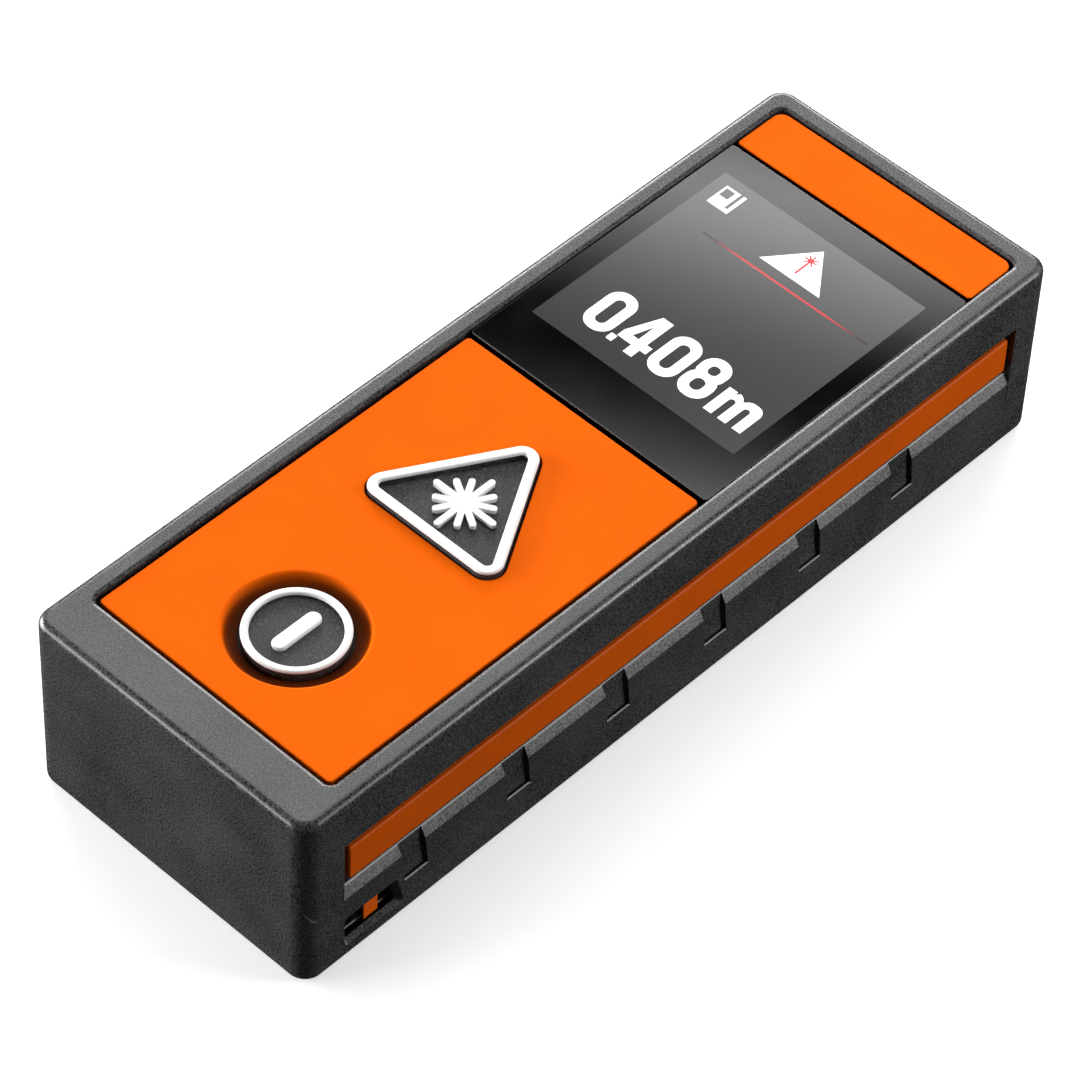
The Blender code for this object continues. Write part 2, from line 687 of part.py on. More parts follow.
def make_display():
    """Window glass, gasket, liquid crystal panel, light guide and ribbon."""
    glass_outline = round_rectangle((-WINDOW_GLASS_X, WINDOW_GLASS_X), WINDOW_GLASS_Y, 0.0003, 2)
    window = plate("display_window", [glass_outline], FACE_Z - PANEL_THICKNESS, FACE_Z,
                   display_glass())
    soften(window, 0.0001, 1)
    outer = round_rectangle((-PANEL_X, PANEL_X), (0.0042, 0.0415), 0.0005, 2)
    inner = round_rectangle((-LCD_X - GAP, LCD_X + GAP), (LCD_Y[0] - GAP, LCD_Y[1] + GAP),
                            0.0002, 1)
    plate("display_gasket", [outer, inner], SKIRT_FOOT_Z, FACE_Z - PANEL_THICKNESS - GAP, rubber())
    box("lcd_panel", (-LCD_X, LCD_X), LCD_Y, LCD_Z, black())
    soften(box("backlight", (-LCD_X, LCD_X), (0.0102, LCD_Y[1]), BACKLIGHT_Z, white()), 0.0002, 1)
    ribbon("lcd_flex", (-0.0070, 0.0070),
           [(0.0018, 0.0156), (0.0060, 0.0156), (0.0072, 0.0163), (0.0076, 0.0176),
            (0.0084, 0.0185), (0.0096, 0.01855)])


def ribbon(name, x, route):
    """A thin flat cable that follows a route of (Y, Z) points, 0.24 mm thick."""
    half = 0.00012
    above, below = [], []
    for index, here in enumerate(route):
        before = Vector(route[max(index - 1, 0)])
        after = Vector(route[min(index + 1, len(route) - 1)])
        along = (after - before).normalized()
        across = Vector((-along.y, along.x)) * half
        above.append(tuple(Vector(here) + across))
        below.append(tuple(Vector(here) - across))
    skin = material("flex_cable", (0.45, 0.20, 0.04), 0.45)
    return plate(name, [below + above[::-1]], *x, skin, "X")


def make_measure_button():
    """Triangular cap with flange and stem, its raised white rim and starburst."""
    cap = plate("measure_button", [round_triangle(MEASURE_AT)], FLANGE_Z[1] - 0.0002,
                MEASURE_SHOULDER_Z, charcoal())
    inner = round_triangle(MEASURE_AT, -RIM_WIDTH - GAP)
    fuse(cap, plate("plateau", [inner], MEASURE_SHOULDER_Z - 0.0002, MEASURE_FACE_Z, charcoal()),
         plate("flange", [round_triangle(MEASURE_AT, 0.0008)], *FLANGE_Z, charcoal()),
         cylinder("stem", STEM_RADIUS, STEM_FOOT_Z, FLANGE_Z[0] + 0.0002, (*MEASURE_AT, 0),
                  charcoal(), steps=SMALL_ROUND_STEPS))
    rim = plate("measure_rim", [round_triangle(MEASURE_AT), round_triangle(MEASURE_AT, -RIM_WIDTH)],
                MEASURE_SHOULDER_Z + GAP, MEASURE_TOP_Z, white())
    soften(rim, 0.00012, 1)
    star = plate("measure_star", [starburst(MEASURE_AT)], MEASURE_FACE_Z + GAP,
                 MEASURE_FACE_Z + GAP + STAR_THICKNESS, white())
    return cap, rim, star


def make_power_button():
    """Round cap with flange and stem, its white ring and raised bar."""
    profile = [(0, POWER_FACE_Z), (POWER_RING_INNER - GAP, POWER_FACE_Z),
               (POWER_RING_INNER - GAP, POWER_SHOULDER_Z), (POWER_RADIUS, POWER_SHOULDER_Z),
               (POWER_RADIUS, FLANGE_Z[1]), (POWER_RADIUS + 0.0008, FLANGE_Z[1]),
               (POWER_RADIUS + 0.0008, FLANGE_Z[0]), (STEM_RADIUS, FLANGE_Z[0]),
               (STEM_RADIUS, STEM_FOOT_Z), (0, STEM_FOOT_Z)]
    cap = turned("power_button", profile, (*POWER_AT, 0), charcoal())
    low = POWER_SHOULDER_Z + GAP
    edge = 0.00015
    loop = [(POWER_RADIUS - edge, POWER_TOP_Z), (POWER_RADIUS, POWER_TOP_Z - edge),
            (POWER_RADIUS, low), (POWER_RING_INNER, low), (POWER_RING_INNER, POWER_TOP_Z - edge),
            (POWER_RING_INNER + edge, POWER_TOP_Z)]
    ring = turned("power_ring", loop, (*POWER_AT, 0), white(), tube=True)
    half_width, half_length = POWER_BAR[0] / 2, POWER_BAR[1] / 2
    outline = round_rectangle((POWER_AT[0] - half_width, POWER_AT[0] + half_width),
                              (POWER_AT[1] - half_length, POWER_AT[1] + half_length),
                              half_width - 0.00001, 5)
    bar = plate("power_bar", [outline], POWER_FACE_Z + GAP, POWER_TOP_Z, white())
    return cap, ring, bar


def make_switch(name, place):
    """A square switch base with its round actuator, which the button above pushes down."""
    x, y = place
    half = SWITCH_SIZE / 2
    outline = round_rectangle((x - half, x + half), (y - half, y + half), 0.0005, 2)
    bore = circle(place, PLUNGER_RADIUS + GAP, SMALL_ROUND_STEPS)
    plate(f"{name}_switch", [outline, bore], *SWITCH_Z, black())
    return cylinder(f"{name}_plunger", PLUNGER_RADIUS, *PLUNGER_Z, (x, y, 0), steel(),
                    steps=SMALL_ROUND_STEPS)


def make_keypad_mat():
    """Silicone sheet that seals the keypad, with a hole round each stem."""
    outline = round_rectangle((-0.0109, 0.0109), (-0.0430, 0.0010), 0.0010, 3)
    holes = [circle(place, STEM_RADIUS + STEM_CLEARANCE, SMALL_ROUND_STEPS)
             for place in (MEASURE_AT, POWER_AT)]
    plate("keypad_mat", [outline, *holes], *MAT_Z, rubber())


def make_main_board():
    """The main circuit board and what is soldered to its upper face."""
    outline = round_rectangle((-BOARD_X, BOARD_X), BOARD_Y, 0.0008, 2)
    board = plate("main_board", [outline], *BOARD_Z, board_green())
    notches = [place for place in BOSS_PLACES if place[1] < 0]
    for x, y in notches:
        carve(board, cylinder("boss_notch", BOSS_RADIUS + GAP, BOARD_Z[0] - BEYOND,
                              BOARD_Z[1] + BEYOND, (x, y, 0), black(), steps=SMALL_ROUND_STEPS))
    for x, y in BOARD_SCREW_PLACES:
        carve(board, cylinder("screw_hole", SCREW_HOLE_RADIUS, BOARD_Z[0] - BEYOND,
                              BOARD_Z[1] + BEYOND, (x, y, 0), black(), steps=SMALL_ROUND_STEPS))
    low = BOARD_Z[1] + GAP
    chip = material("chip_epoxy", (0.02, 0.02, 0.022), 0.45)
    soften(box("processor_chip", (-0.0100, -0.0030), (-0.0270, -0.0200), (low, low + 0.0010),
               chip), 0.00015, 1)
    soften(box("display_driver", (0.0040, 0.0090), (-0.0045, -0.0005), (low, low + 0.0009),
               chip), 0.00015, 1)
    crystal = round_rectangle((0.0045, 0.0077), (-0.0290, -0.0240), 0.0012, 3)
    plate("crystal", [crystal], low, low + 0.0012, steel())
    profile = [(0, low + 0.0012), (0.0010, low + 0.0012), (0.0010, low + 0.0016),
               (0.0043, low + 0.0016), (0.0045, low + 0.0014), (0.0045, low), (0, low)]
    turned("buzzer", profile, (0.0060, -0.0190, 0), black(), steps=SMALL_ROUND_STEPS)


# ---------------------------------------------------------------- batteries

def make_cell(name, x, nub_tip, heading):
    """An AAA cell whose nub points along heading (+1 or -1) and ends at nub_tip."""
    crimp = 0.0004
    shoulder = CELL_RADIUS - 0.0008
    nub = 0.0019
    profile = [(0, 0), (nub, 0), (nub, -CELL_NUB), (shoulder, -CELL_NUB),
               (CELL_RADIUS, -CELL_NUB - crimp), (CELL_RADIUS, -CELL_LENGTH + crimp),
               (shoulder, -CELL_LENGTH), (0, -CELL_LENGTH)]
    cell = turned(name, profile, (x, nub_tip, CELL_Z), battery_skin(), "Y", 28)
    if heading < 0:
        cell.rotation_euler = (pi / 2, 0, 0)
    return cell


def make_contact_spring(name, x, wide_y, narrow_y):
    """A conical coil spring that presses on a cell's flat end."""
    wire = 0.00024
    turns = 3
    points_a_turn = 12
    count = turns * points_a_turn + 1
    curve = bpy.data.curves.new(name, "CURVE")
    curve.dimensions = "3D"
    curve.bevel_depth = wire
    curve.bevel_resolution = 2
    curve.use_fill_caps = True
    spline = curve.splines.new("POLY")
    spline.points.add(count - 1)
    heading = 1 if narrow_y > wide_y else -1
    for index, point in enumerate(spline.points):
        share = index / (count - 1)
        angle = share * turns * 2 * pi
        radius = 0.0034 + (0.0019 - 0.0034) * share
        y = wide_y + heading * wire + (narrow_y - wide_y - 2 * heading * wire) * share
        point.co = (x + radius * cos(angle), y, CELL_Z + radius * sin(angle), 1)
    drawing = bpy.data.objects.new(name, curve)
    parts.objects.link(drawing)
    bpy.context.view_layer.update()
    graph = bpy.context.evaluated_depsgraph_get()
    mesh = bpy.data.meshes.new_from_object(drawing.evaluated_get(graph))
    bpy.data.objects.remove(drawing)
    body = bmesh.new()
    body.from_mesh(mesh)
    bmesh.ops.remove_doubles(body, verts=body.verts, dist=1e-6)
    bmesh.ops.recalc_face_normals(body, faces=body.faces)
    body.to_mesh(mesh)
    body.free()
    return add(name, mesh, steel())


def make_batteries():
    near_plate = (BAY_Y[0] + GAP, BAY_Y[0] + GAP + CONTACT_THICKNESS)
    far_plate = (BAY_Y[1] - GAP - CONTACT_THICKNESS, BAY_Y[1] - GAP)
    near_face = near_plate[1] + GAP
    far_face = far_plate[0] - GAP
    make_cell("battery_left", -CELL_X, far_face, 1)
    make_cell("battery_right", CELL_X, near_face, -1)
    make_contact_spring("contact_spring_left", -CELL_X, near_face, far_face - CELL_LENGTH - GAP)
    make_contact_spring("contact_spring_right", CELL_X, far_face, near_face + CELL_LENGTH + GAP)
    wide = {"contact_negative": (-0.0103, -0.0008), "contact_positive": (0.0008, 0.0103)}
    for name, x in wide.items():
        outline = round_rectangle(x, CONTACT_Z, 0.0012, 3)
        plate(name, [outline], *near_plate, steel(), "Y")
    bridge = round_rectangle((-0.0103, 0.0103), CONTACT_Z, 0.0012, 3)
    plate("contact_bridge", [bridge], *far_plate, steel(), "Y")


# ---------------------------------------------------------------- optics

def make_optics_block():
    """The block that holds the laser and the receiver in line, with its nose."""
    block = box("optics_block", (-OPTICS_X, OPTICS_X), OPTICS_Y, OPTICS_Z, black())
    soften(block, 0.0004, 1)
    nose = box("nose", (-NOSE_X, NOSE_X), (OPTICS_Y[1] - 0.0010, NOSE_Y),
               (OPTICS_Z[0] + 0.0009, OPTICS_Z[1] - 0.0007), black())
    fuse(block, nose)
    for x, y in [place for place in BOSS_PLACES if place[1] > 0]:
        carve(block, cylinder("boss_notch", BOSS_RADIUS + 0.0004, 0, OPTICS_Z[1] + BEYOND,
                              (x, y, 0), black(), steps=SMALL_ROUND_STEPS))
    seat = LENS_RADIUS + GAP
    cone = [(0, NOSE_Y + BEYOND), (seat, NOSE_Y + BEYOND), (seat, 0.0462), (0.0051, 0.0462),
            (0.0031, 0.0150), (0.0031, OPTICS_Y[0] - BEYOND), (0, OPTICS_Y[0] - BEYOND)]
    carve(block, turned("receiver_cutter", cone, (RECEIVER_X, 0, AXIS_Z), black(), "Y"))
    carve(block, cylinder("laser_cutter", 0.0033, OPTICS_Y[0] - BEYOND, NOSE_Y + BEYOND,
                          (LASER_X, 0, AXIS_Z), black(), "Y"))
    for x, y in OPTICS_SCREW_PLACES:
        step = [(0, OPTICS_Z[1] + BEYOND), (0.0021, OPTICS_Z[1] + BEYOND), (0.0021, 0.0060),
                (SCREW_HOLE_RADIUS, 0.0060), (SCREW_HOLE_RADIUS, 0), (0, 0)]
        carve(block, turned("screw_cutter", step, (x, y, 0), black(), steps=SMALL_ROUND_STEPS))


def lens(name, radius, thickness, bulge, front_y, x, skin):
    """A plano-convex lens about the Y axis, its crown towards the front."""
    steps = 5
    rise = [(radius * step / steps, front_y - bulge * (step / steps) ** 2)
            for step in range(steps + 1)]
    profile = rise + [(radius, front_y - thickness), (0, front_y - thickness)]
    return turned(name, profile, (x, 0, AXIS_Z), skin, "Y", 28)


def make_optics():
    make_optics_block()
    lens("receiver_lens", LENS_RADIUS, 0.0024, 0.0012, 0.0489, RECEIVER_X, glass())
    ring = [(LENS_RADIUS, NOSE_Y - 0.0001), (LENS_RADIUS, 0.0492), (0.0050, 0.0492),
            (0.0050, NOSE_Y - 0.0001)]
    turned("lens_retainer", ring, (RECEIVER_X, 0, AXIS_Z), black(), "Y", 28, tube=True)
    cylinder("optical_filter", 0.0028, 0.0146, 0.0154, (RECEIVER_X, 0, AXIS_Z),
             material("filter_glass", (0.30, 0.02, 0.02), 0.08), "Y", SMALL_ROUND_STEPS)
    can = [(0, 0.0125), (0.0025, 0.0125), (0.0025, 0.0103), (0.0028, 0.0103),
           (0.0028, 0.0099), (0, 0.0099)]
    turned("photodiode", can, (RECEIVER_X, 0, AXIS_Z), steel(), "Y", SMALL_ROUND_STEPS)
    turned("laser_diode", can, (LASER_X, 0, AXIS_Z), brass(), "Y", SMALL_ROUND_STEPS)
    barrel = [(0.0028, 0.0495), (0.0030, 0.0493), (0.0030, 0.0135), (0.0021, 0.0135),
              (0.0021, 0.0440), (0.0026, 0.0445), (0.0026, 0.0495)]
    turned("laser_barrel", barrel, (LASER_X, 0, AXIS_Z), brass(), "Y", 24, tube=True)
    lens("collimator_lens", 0.0023, 0.0018, 0.0006, 0.0466, LASER_X, glass())
    box("receiver_board", (-0.0130, 0.0130), (0.0086, 0.0096), (0.0042, 0.0150), board_green())
    ribbon("sensor_flex", (-0.0125, -0.0085),
           [(0.0030, 0.0157), (0.0052, 0.0157), (0.0066, 0.0150), (0.0071, 0.0138),
            (0.0075, 0.0120), (0.0081, 0.0112), (0.0081, 0.0100)])
    face = round_rectangle((-BEZEL_X, BEZEL_X), BEZEL_Z, BEZEL_RADIUS, 4)
    eye = circle((RECEIVER_X, AXIS_Z), 0.0052)
    port = circle((LASER_X, AXIS_Z), 0.0026, SMALL_ROUND_STEPS)
    bezel = plate("front_bezel", [face, eye, port], *BEZEL_Y, black(), "Y")
    soften(bezel, 0.0002, 1)
    cylinder("laser_window", 0.0021, 0.0500, 0.0508, (LASER_X, 0, AXIS_Z), glass(), "Y",
             SMALL_ROUND_STEPS)


def main():
    global parts, cutters
    parts, cutters = clear_scene()
    make_outer_frame()
    make_side_strips()
    make_rear_housing()
    make_front_housing()
    make_rear_cover()
    make_battery_door()
    make_screws()
    make_keypad_panel()
    make_end_cap()
    make_display()
    measure_plunger = make_switch("measure", MEASURE_AT)
    power_plunger = make_switch("power", POWER_AT)
    pivot("measure_press", (*MEASURE_AT, FACE_Z), *make_measure_button(), measure_plunger)
    pivot("power_press", (*POWER_AT, FACE_Z), *make_power_button(), power_plunger)
    make_keypad_mat()
    make_main_board()
    make_batteries()
    make_optics()


main()
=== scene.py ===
"""Looks of the pocket laser distance meter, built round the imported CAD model, in metres.

X runs across the body, Y along it towards the laser end, and Z out of the keypad.
"""
from math import asin, cos, pi, radians, sin, sqrt

import bmesh
import bpy
from mathutils import Matrix, Vector


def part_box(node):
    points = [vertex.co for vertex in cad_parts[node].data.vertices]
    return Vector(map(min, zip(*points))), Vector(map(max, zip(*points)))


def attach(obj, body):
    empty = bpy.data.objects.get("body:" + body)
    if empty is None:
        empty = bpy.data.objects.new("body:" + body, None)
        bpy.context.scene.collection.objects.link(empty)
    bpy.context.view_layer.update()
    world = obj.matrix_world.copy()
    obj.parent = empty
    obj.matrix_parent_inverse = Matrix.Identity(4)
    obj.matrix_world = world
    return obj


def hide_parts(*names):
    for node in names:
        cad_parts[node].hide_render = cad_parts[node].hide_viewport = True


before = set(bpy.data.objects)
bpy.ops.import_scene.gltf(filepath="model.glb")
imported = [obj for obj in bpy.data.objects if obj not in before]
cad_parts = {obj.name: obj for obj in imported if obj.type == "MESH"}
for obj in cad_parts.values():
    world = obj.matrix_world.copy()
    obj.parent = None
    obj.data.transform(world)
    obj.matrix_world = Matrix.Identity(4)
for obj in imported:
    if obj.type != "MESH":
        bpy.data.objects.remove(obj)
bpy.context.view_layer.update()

MM = 0.001
TOUCHING = 1e-7  # points closer than this are one
LEVEL_SLACK = 1e-6
FLUSH_ANGLE = radians(0.3)


def mm(*values):
    """Millimetres as metres."""
    return tuple(value * MM for value in values)


def offsets(level, *steps):
    """Places that lie steps of so many millimetres from a level."""
    return tuple(level + step * MM for step in steps)


# Whole body, read from the CAD frame
CASE_LOW, CASE_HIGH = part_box("outer_frame")
HALF_WIDTH = CASE_HIGH.x
HALF_LENGTH = CASE_HIGH.y
TOP_Z = CASE_HIGH.z
PANEL_LOW, PANEL_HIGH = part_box("keypad_panel")
CAP_LOW, CAP_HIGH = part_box("end_cap")
GLASS_LOW, GLASS_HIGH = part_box("display_window")
COVER_LOW, COVER_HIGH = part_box("rear_cover")
DOOR_LOW, DOOR_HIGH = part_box("battery_door")
BEZEL_LOW, BEZEL_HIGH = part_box("front_bezel")
FACE_Z = PANEL_HIGH.z

# Case
CORNER_RADIUS = 2.1 * MM
EDGE_FILLET = 1.05 * MM
FOOT_FILLET = 0.9 * MM
HOLLOW_X = 16.0 * MM
MOUTH_X = 15.85 * MM
MOUTH_Y = mm(-46.42, 49.42)
MOUTH_RADIUS = 1.0 * MM
MOUTH_FLARE = mm(0.34, 0.16)  # width and depth of the shallow chamfer round the mouth
SHELF_Z = 20.4 * MM
INNER_Y = HALF_LENGTH - 2.0 * MM
CRISP = 0.11 * MM  # the small round on moulded edges that look sharp

# Side walls
WINDOW_Y = mm(-46.9, 47.3)
WINDOW_Z = mm(10.15, 16.75)
WINDOW_DEPTH = 1.3 * MM
LEDGE_DEPTH = 0.6 * MM
SLOPE_TOP = mm(0.08, 8.75)  # depth and height of the chamfer's foot
SLOPE_FOOT_Z = 1.6 * MM
NOTCH_COUNT = 6
NOTCH_PITCH = 13.76 * MM
NOTCH_FIRST_Y = -37.4 * MM
NOTCH_WIDTH = 3.1 * MM
NOTCH_DEPTHS = mm(0.45, 0.66)
NOTCH_FOOT_Z = 4.85 * MM
NOTCH_LEAN = 0.1
LANYARD_LIP = ((-46.85, 1.95), (-39.0, 1.95), (-39.95, 5.9), (-46.85, 5.9))  # millimetres
LANYARD_WAIST = ((-46.6, 2.3), (-39.75, 2.3), (-40.3, 5.9), (-46.6, 5.9))
LANYARD_POCKET = ((-46.6, 0.9), (-39.6, 0.9), (-40.3, 5.9), (-46.6, 5.9))
LANYARD_WAIST_DEPTH = 0.6 * MM
LANYARD_ROUND = 0.45 * MM
LANYARD_STEPS = 5
LANYARD_RIB_DEPTH = 1.45 * MM
LANYARD_RIB_Y = mm(-46.5, -39.65)
LANYARD_RIB_Z = 2.1 * MM

# Keypad
PANEL_GAP = 0.18 * MM  # the panel moulding is this much smaller than its place
KEY_GAP = 0.22 * MM
FLANGE_Z = mm(20.35, 21.05)  # the flange that keeps each button in
FLANGE_REACH = 0.8 * MM
STEM_RADIUS = 2 * MM
MARK_GAP = 0.01 * MM
DISH_RADIUS = 7.2 * MM
# Dish round the power button: millimetres beyond its radius and above the face
DISH_PROFILE = ((0.05, 1), (0.05, 0), (-0.10, -0.10), (-0.28, -0.45), (-0.55, -0.85), (-0.90, -1.00))

# Measure button
MEASURE_AT = mm(0, -13)
TRIANGLE_SIDE = 19.5 * MM
TRIANGLE_RADIUS = 1.7 * MM
RIM_WIDTH = 1.12 * MM
MEASURE_TOP_Z = 23.2 * MM
MEASURE_FACE_Z = 22.45 * MM
STAR_RAYS = 12
STAR_RAY_WIDTH = 0.68 * MM
STAR_HUB_RADIUS = 1.42 * MM
STAR_RAY_LENGTHS = mm(4.05, 3.2, 3.2)

# Power button
POWER_AT = mm(0, -35.2)
POWER_RADIUS = 5.30 * MM
POWER_RING_INNER = 4.47 * MM
POWER_TOP_Z = 22.5 * MM
POWER_FACE_Z = 22.0 * MM

# Display
SCREEN_X = mm(-13.4, 13.4)
SCREEN_Y = mm(10.1, 38.3)
PRINT_LIFT = 0.012 * MM

# Battery door
DOOR_AXIS = mm(0.4, 1.0)

# Camera
CAMERA_AZIMUTH = radians(41.747)
CAMERA_ELEVATION = radians(47.926)
CAMERA_ROLL = radians(2.892)
CAMERA_DISTANCE = 0.496
CAMERA_TARGET = Vector(mm(1.4, -3.6, 11.4))
CAMERA_AWAY = Vector((sin(CAMERA_AZIMUTH) * cos(CAMERA_ELEVATION),
                      -cos(CAMERA_AZIMUTH) * cos(CAMERA_ELEVATION), sin(CAMERA_ELEVATION)))
CAMERA_AT = CAMERA_TARGET + CAMERA_AWAY * CAMERA_DISTANCE
LENS = 170.2
SENSOR_WIDTH = 36.0

# Studio
FLOOR_HALF_SIZE = 4.0
FLOOR_GAP = 0.05 * MM
KEY_DIRECTION = (-0.42, 0.50, 0.76)
KEY_DISTANCE = 1.3
KEY_HALF_SIZE = 0.65
KEY_RADIANCE = 4.4
FOLD_FROM = mm(-14.7, 7.3)  # line on the window where the card's dark fold shows
FOLD_TO = mm(14.7, 22)
# The card's light across its fold: millimetres on the window, and radiance
FOLD_LEVELS = ((-40, 3.4), (-15, 2.8), (-10, 1.15), (-5, 0.24), (-1, 0.0), (1.3, 0.0), (4.3, 0.15),
               (7.7, 0.75), (12, 2.1), (16.3, 3.9), (19, 4.4), (26, 1.7), (37, 1.8), (60, 2.0))
ROOM_DARK = 0.05
ROOM_LIGHT = 0.03
SIDE_AIM = mm(18, 20, 20)
NEAR_AIM = mm(0, -52, 20)
# name, aim point, direction, distance, width and height, radiance
SOFT_LIGHTS = (("side_glint", SIDE_AIM, (0.774, 0.517, 0.367), 0.455, (0.15, 0.15), 17.0),
               ("near_glint", NEAR_AIM, (-0.56, -0.80, 0.21), 0.5, (0.22, 0.18), 12.0),
               ("left_light", NEAR_AIM, (-0.92, -0.38, 0.06), 0.45, (0.30, 0.20), 27.0),
               ("right_light", SIDE_AIM, (0.45, 0.90, 0.50), 0.30, (0.20, 0.20), 1.8),
               ("rim_light", (0.0, 0.0, TOP_Z), (-0.66, 0.70, 0.27), 1.2, (0.80, 0.22), 21.0))


# ---- material tools

class Nodes:
    """A new node material, with short calls that add and join its nodes."""

    def __init__(self, name):
        self.material = bpy.data.materials.new(name)
        self.material.use_nodes = True
        self.tree = self.material.node_tree
        self.shader = self.tree.nodes["Principled BSDF"]

    def add(self, kind, **settings):
        node = self.tree.nodes.new(kind)
        for key, value in settings.items():
            setattr(node, key, value)
        return node

    def link(self, output, target):
        self.tree.links.new(output, target)

    def set(self, **values):
        for key, value in values.items():
            self.shader.inputs[key.replace("_", " ")].default_value = value

    def place(self):
        """Position on the object at rest, in metres."""
        if not hasattr(self, "_place"):
            self._place = self.add("ShaderNodeTexCoord").outputs["Object"]
        return self._place

    def noise(self, size, detail=2.0, roughness=0.5, offset=0.0):
        """Noise whose features are about size metres across."""
        node = self.add("ShaderNodeTexNoise")
        node.inputs["Scale"].default_value = 1.0 / size
        node.inputs["Detail"].default_value = detail
        node.inputs["Roughness"].default_value = roughness
        if offset:
            shift = self.add("ShaderNodeVectorMath", operation="ADD")
            shift.inputs[1].default_value = (offset, offset * 0.7, offset * 1.3)
            self.link(self.place(), shift.inputs[0])
            self.link(shift.outputs[0], node.inputs["Vector"])
        else:
            self.link(self.place(), node.inputs["Vector"])
        return node.outputs["Fac"]

    def cells(self, size, feature="F1", randomness=1.0):
        """Voronoi cells about size metres across."""
        node = self.add("ShaderNodeTexVoronoi", feature=feature)
        node.inputs["Scale"].default_value = 1.0 / size
        node.inputs["Randomness"].default_value = randomness
        self.link(self.place(), node.inputs["Vector"])
        return node

    def ramp(self, factor, *stops):
        """Map a factor through (position, grey or colour) stops."""
        node = self.add("ShaderNodeValToRGB")
        ramp = node.color_ramp
        while len(ramp.elements) < len(stops):
            ramp.elements.new(0.5)
        for element, (position, colour) in zip(ramp.elements, stops):
            if not isinstance(colour, tuple):
                colour = (colour, colour, colour)
            element.position = position
            element.color = (*colour, 1.0)
        self.link(factor, node.inputs["Fac"])
        return node.outputs["Color"]

    def span(self, factor, low, high, to_low, to_high, smooth=False):
        """Map a factor from one range to another, clamped."""
        node = self.add("ShaderNodeMapRange")
        node.interpolation_type = "SMOOTHSTEP" if smooth else "LINEAR"
        for index, value in zip((1, 2, 3, 4), (low, high, to_low, to_high)):
            node.inputs[index].default_value = value
        self.link(factor, node.inputs[0])
        return node.outputs[0]

    def maths(self, operation, first, second=0.0):
        node = self.add("ShaderNodeMath", operation=operation)
        for index, value in enumerate((first, second)):
            if hasattr(value, "links"):
                self.link(value, node.inputs[index])
            else:
                node.inputs[index].default_value = value
        return node.outputs[0]

    def times(self, first, second):
        return self.maths("MULTIPLY", first, second)

    def minus(self, first, second):
        return self.maths("SUBTRACT", first, second)

    def mix(self, factor, first, second):
        """Mix two colours, each a socket or a tuple."""
        node = self.add("ShaderNodeMix", data_type="RGBA")
        if hasattr(factor, "links"):
            self.link(factor, node.inputs[0])
        else:
            node.inputs[0].default_value = factor
        for index, value in ((6, first), (7, second)):
            if hasattr(value, "links"):
                self.link(value, node.inputs[index])
            else:
                node.inputs[index].default_value = (*value, 1.0)
        return node.outputs[2]

    def axis(self, name):
        if not hasattr(self, "_axes"):
            split = self.add("ShaderNodeSeparateXYZ")
            self.link(self.place(), split.inputs[0])
            self._axes = split
        return self._axes.outputs[name]

    def reach(self, name):
        """Distance from the middle plane across an axis."""
        return self.maths("ABSOLUTE", self.axis(name))

    def band(self, name, rise, fall):
        """One between two fades along an axis, each a pair of places."""
        value = self.axis(name)
        return self.times(self.span(value, *rise, 0.0, 1.0), self.span(value, *fall, 1.0, 0.0))

    def colour(self, socket):
        self.link(socket, self.shader.inputs["Base Color"])

    def roughness(self, socket):
        self.link(socket, self.shader.inputs["Roughness"])

    def rough(self, factor, low, high):
        """Roughness that follows a noise between two values."""
        self.roughness(self.span(factor, 0.3, 0.7, low, high))

    def bump(self, height, distance, strength=1.0):
        """Bump from a height socket, distance in metres; a second call adds to the first."""
        node = self.add("ShaderNodeBump")
        node.inputs["Strength"].default_value = strength
        node.inputs["Distance"].default_value = distance
        self.link(height, node.inputs["Height"])
        normal = self.shader.inputs["Normal"]
        if normal.is_linked:
            self.link(normal.links[0].from_socket, node.inputs["Normal"])
        self.link(node.outputs["Normal"], normal)


def grained_plastic(name, dark, light, grain=0.20 * MM, depth=0.045 * MM, rough=0.42,
                    sparkle=0.16, relief=0.05, gloss=0.45, chamfer_painted_light=None):
    """Spark-eroded moulding: fine pits, tiny bright facets, and slight polish where it is held."""
    n = Nodes(name)
    fine = n.noise(grain, 2.0, 0.6)
    broad = n.noise(8 * MM, 2.0, 0.5, 0.31)
    tone = n.maths("ADD", n.times(fine, 0.80), n.times(broad, 0.20))
    body = n.ramp(tone, (0.36, dark), (0.64, light))
    facets = n.cells(grain * 1.1)
    glint = n.span(facets.outputs["Distance"], 0.45, 0.10, 0.0, 1.0)
    chosen = n.add("ShaderNodeSeparateColor")
    n.link(facets.outputs["Color"], chosen.inputs[0])
    few = n.span(chosen.outputs[0], 0.70, 1.0, 0.0, 1.0)
    body = n.mix(n.times(glint, few), body, (sparkle, sparkle, sparkle))
    # Painted light: the chamfers below the side windows are painted paler, standing in for the light
    # they catch.
    if chamfer_painted_light:
        body = n.mix(chamfer_painted_light_mask(n), body, n.ramp(tone, (0.36, chamfer_painted_light[0]), (0.64, chamfer_painted_light[1])))
        # Painted highlight: a pale line along the top edge of each chamfer.
        body = n.mix(ledge_edge_painted_highlight_mask(n), body, (0.62, 0.62, 0.62))
        # Painted highlight on each notch lip, and near-black painted shade on the tread behind it.
        lip, tread = notch_foot_painted_light_masks(n)
        body = n.mix(tread, n.mix(lip, body, (0.50, 0.50, 0.50)), (0.003, 0.003, 0.003))
    n.colour(body)
    worn = n.span(n.noise(14 * MM, 3.0, 0.6, 0.77), 0.45, 0.75, 0.0, 1.0)
    grip = n.span(fine, 0.3, 0.7, rough - 0.12, rough + 0.14)
    n.roughness(n.minus(grip, n.times(worn, 0.04)))
    n.bump(fine, depth, relief)
    n.bump(facets.outputs["Distance"], depth, relief * 0.6)
    n.set(Specular_IOR_Level=gloss)
    return n.material


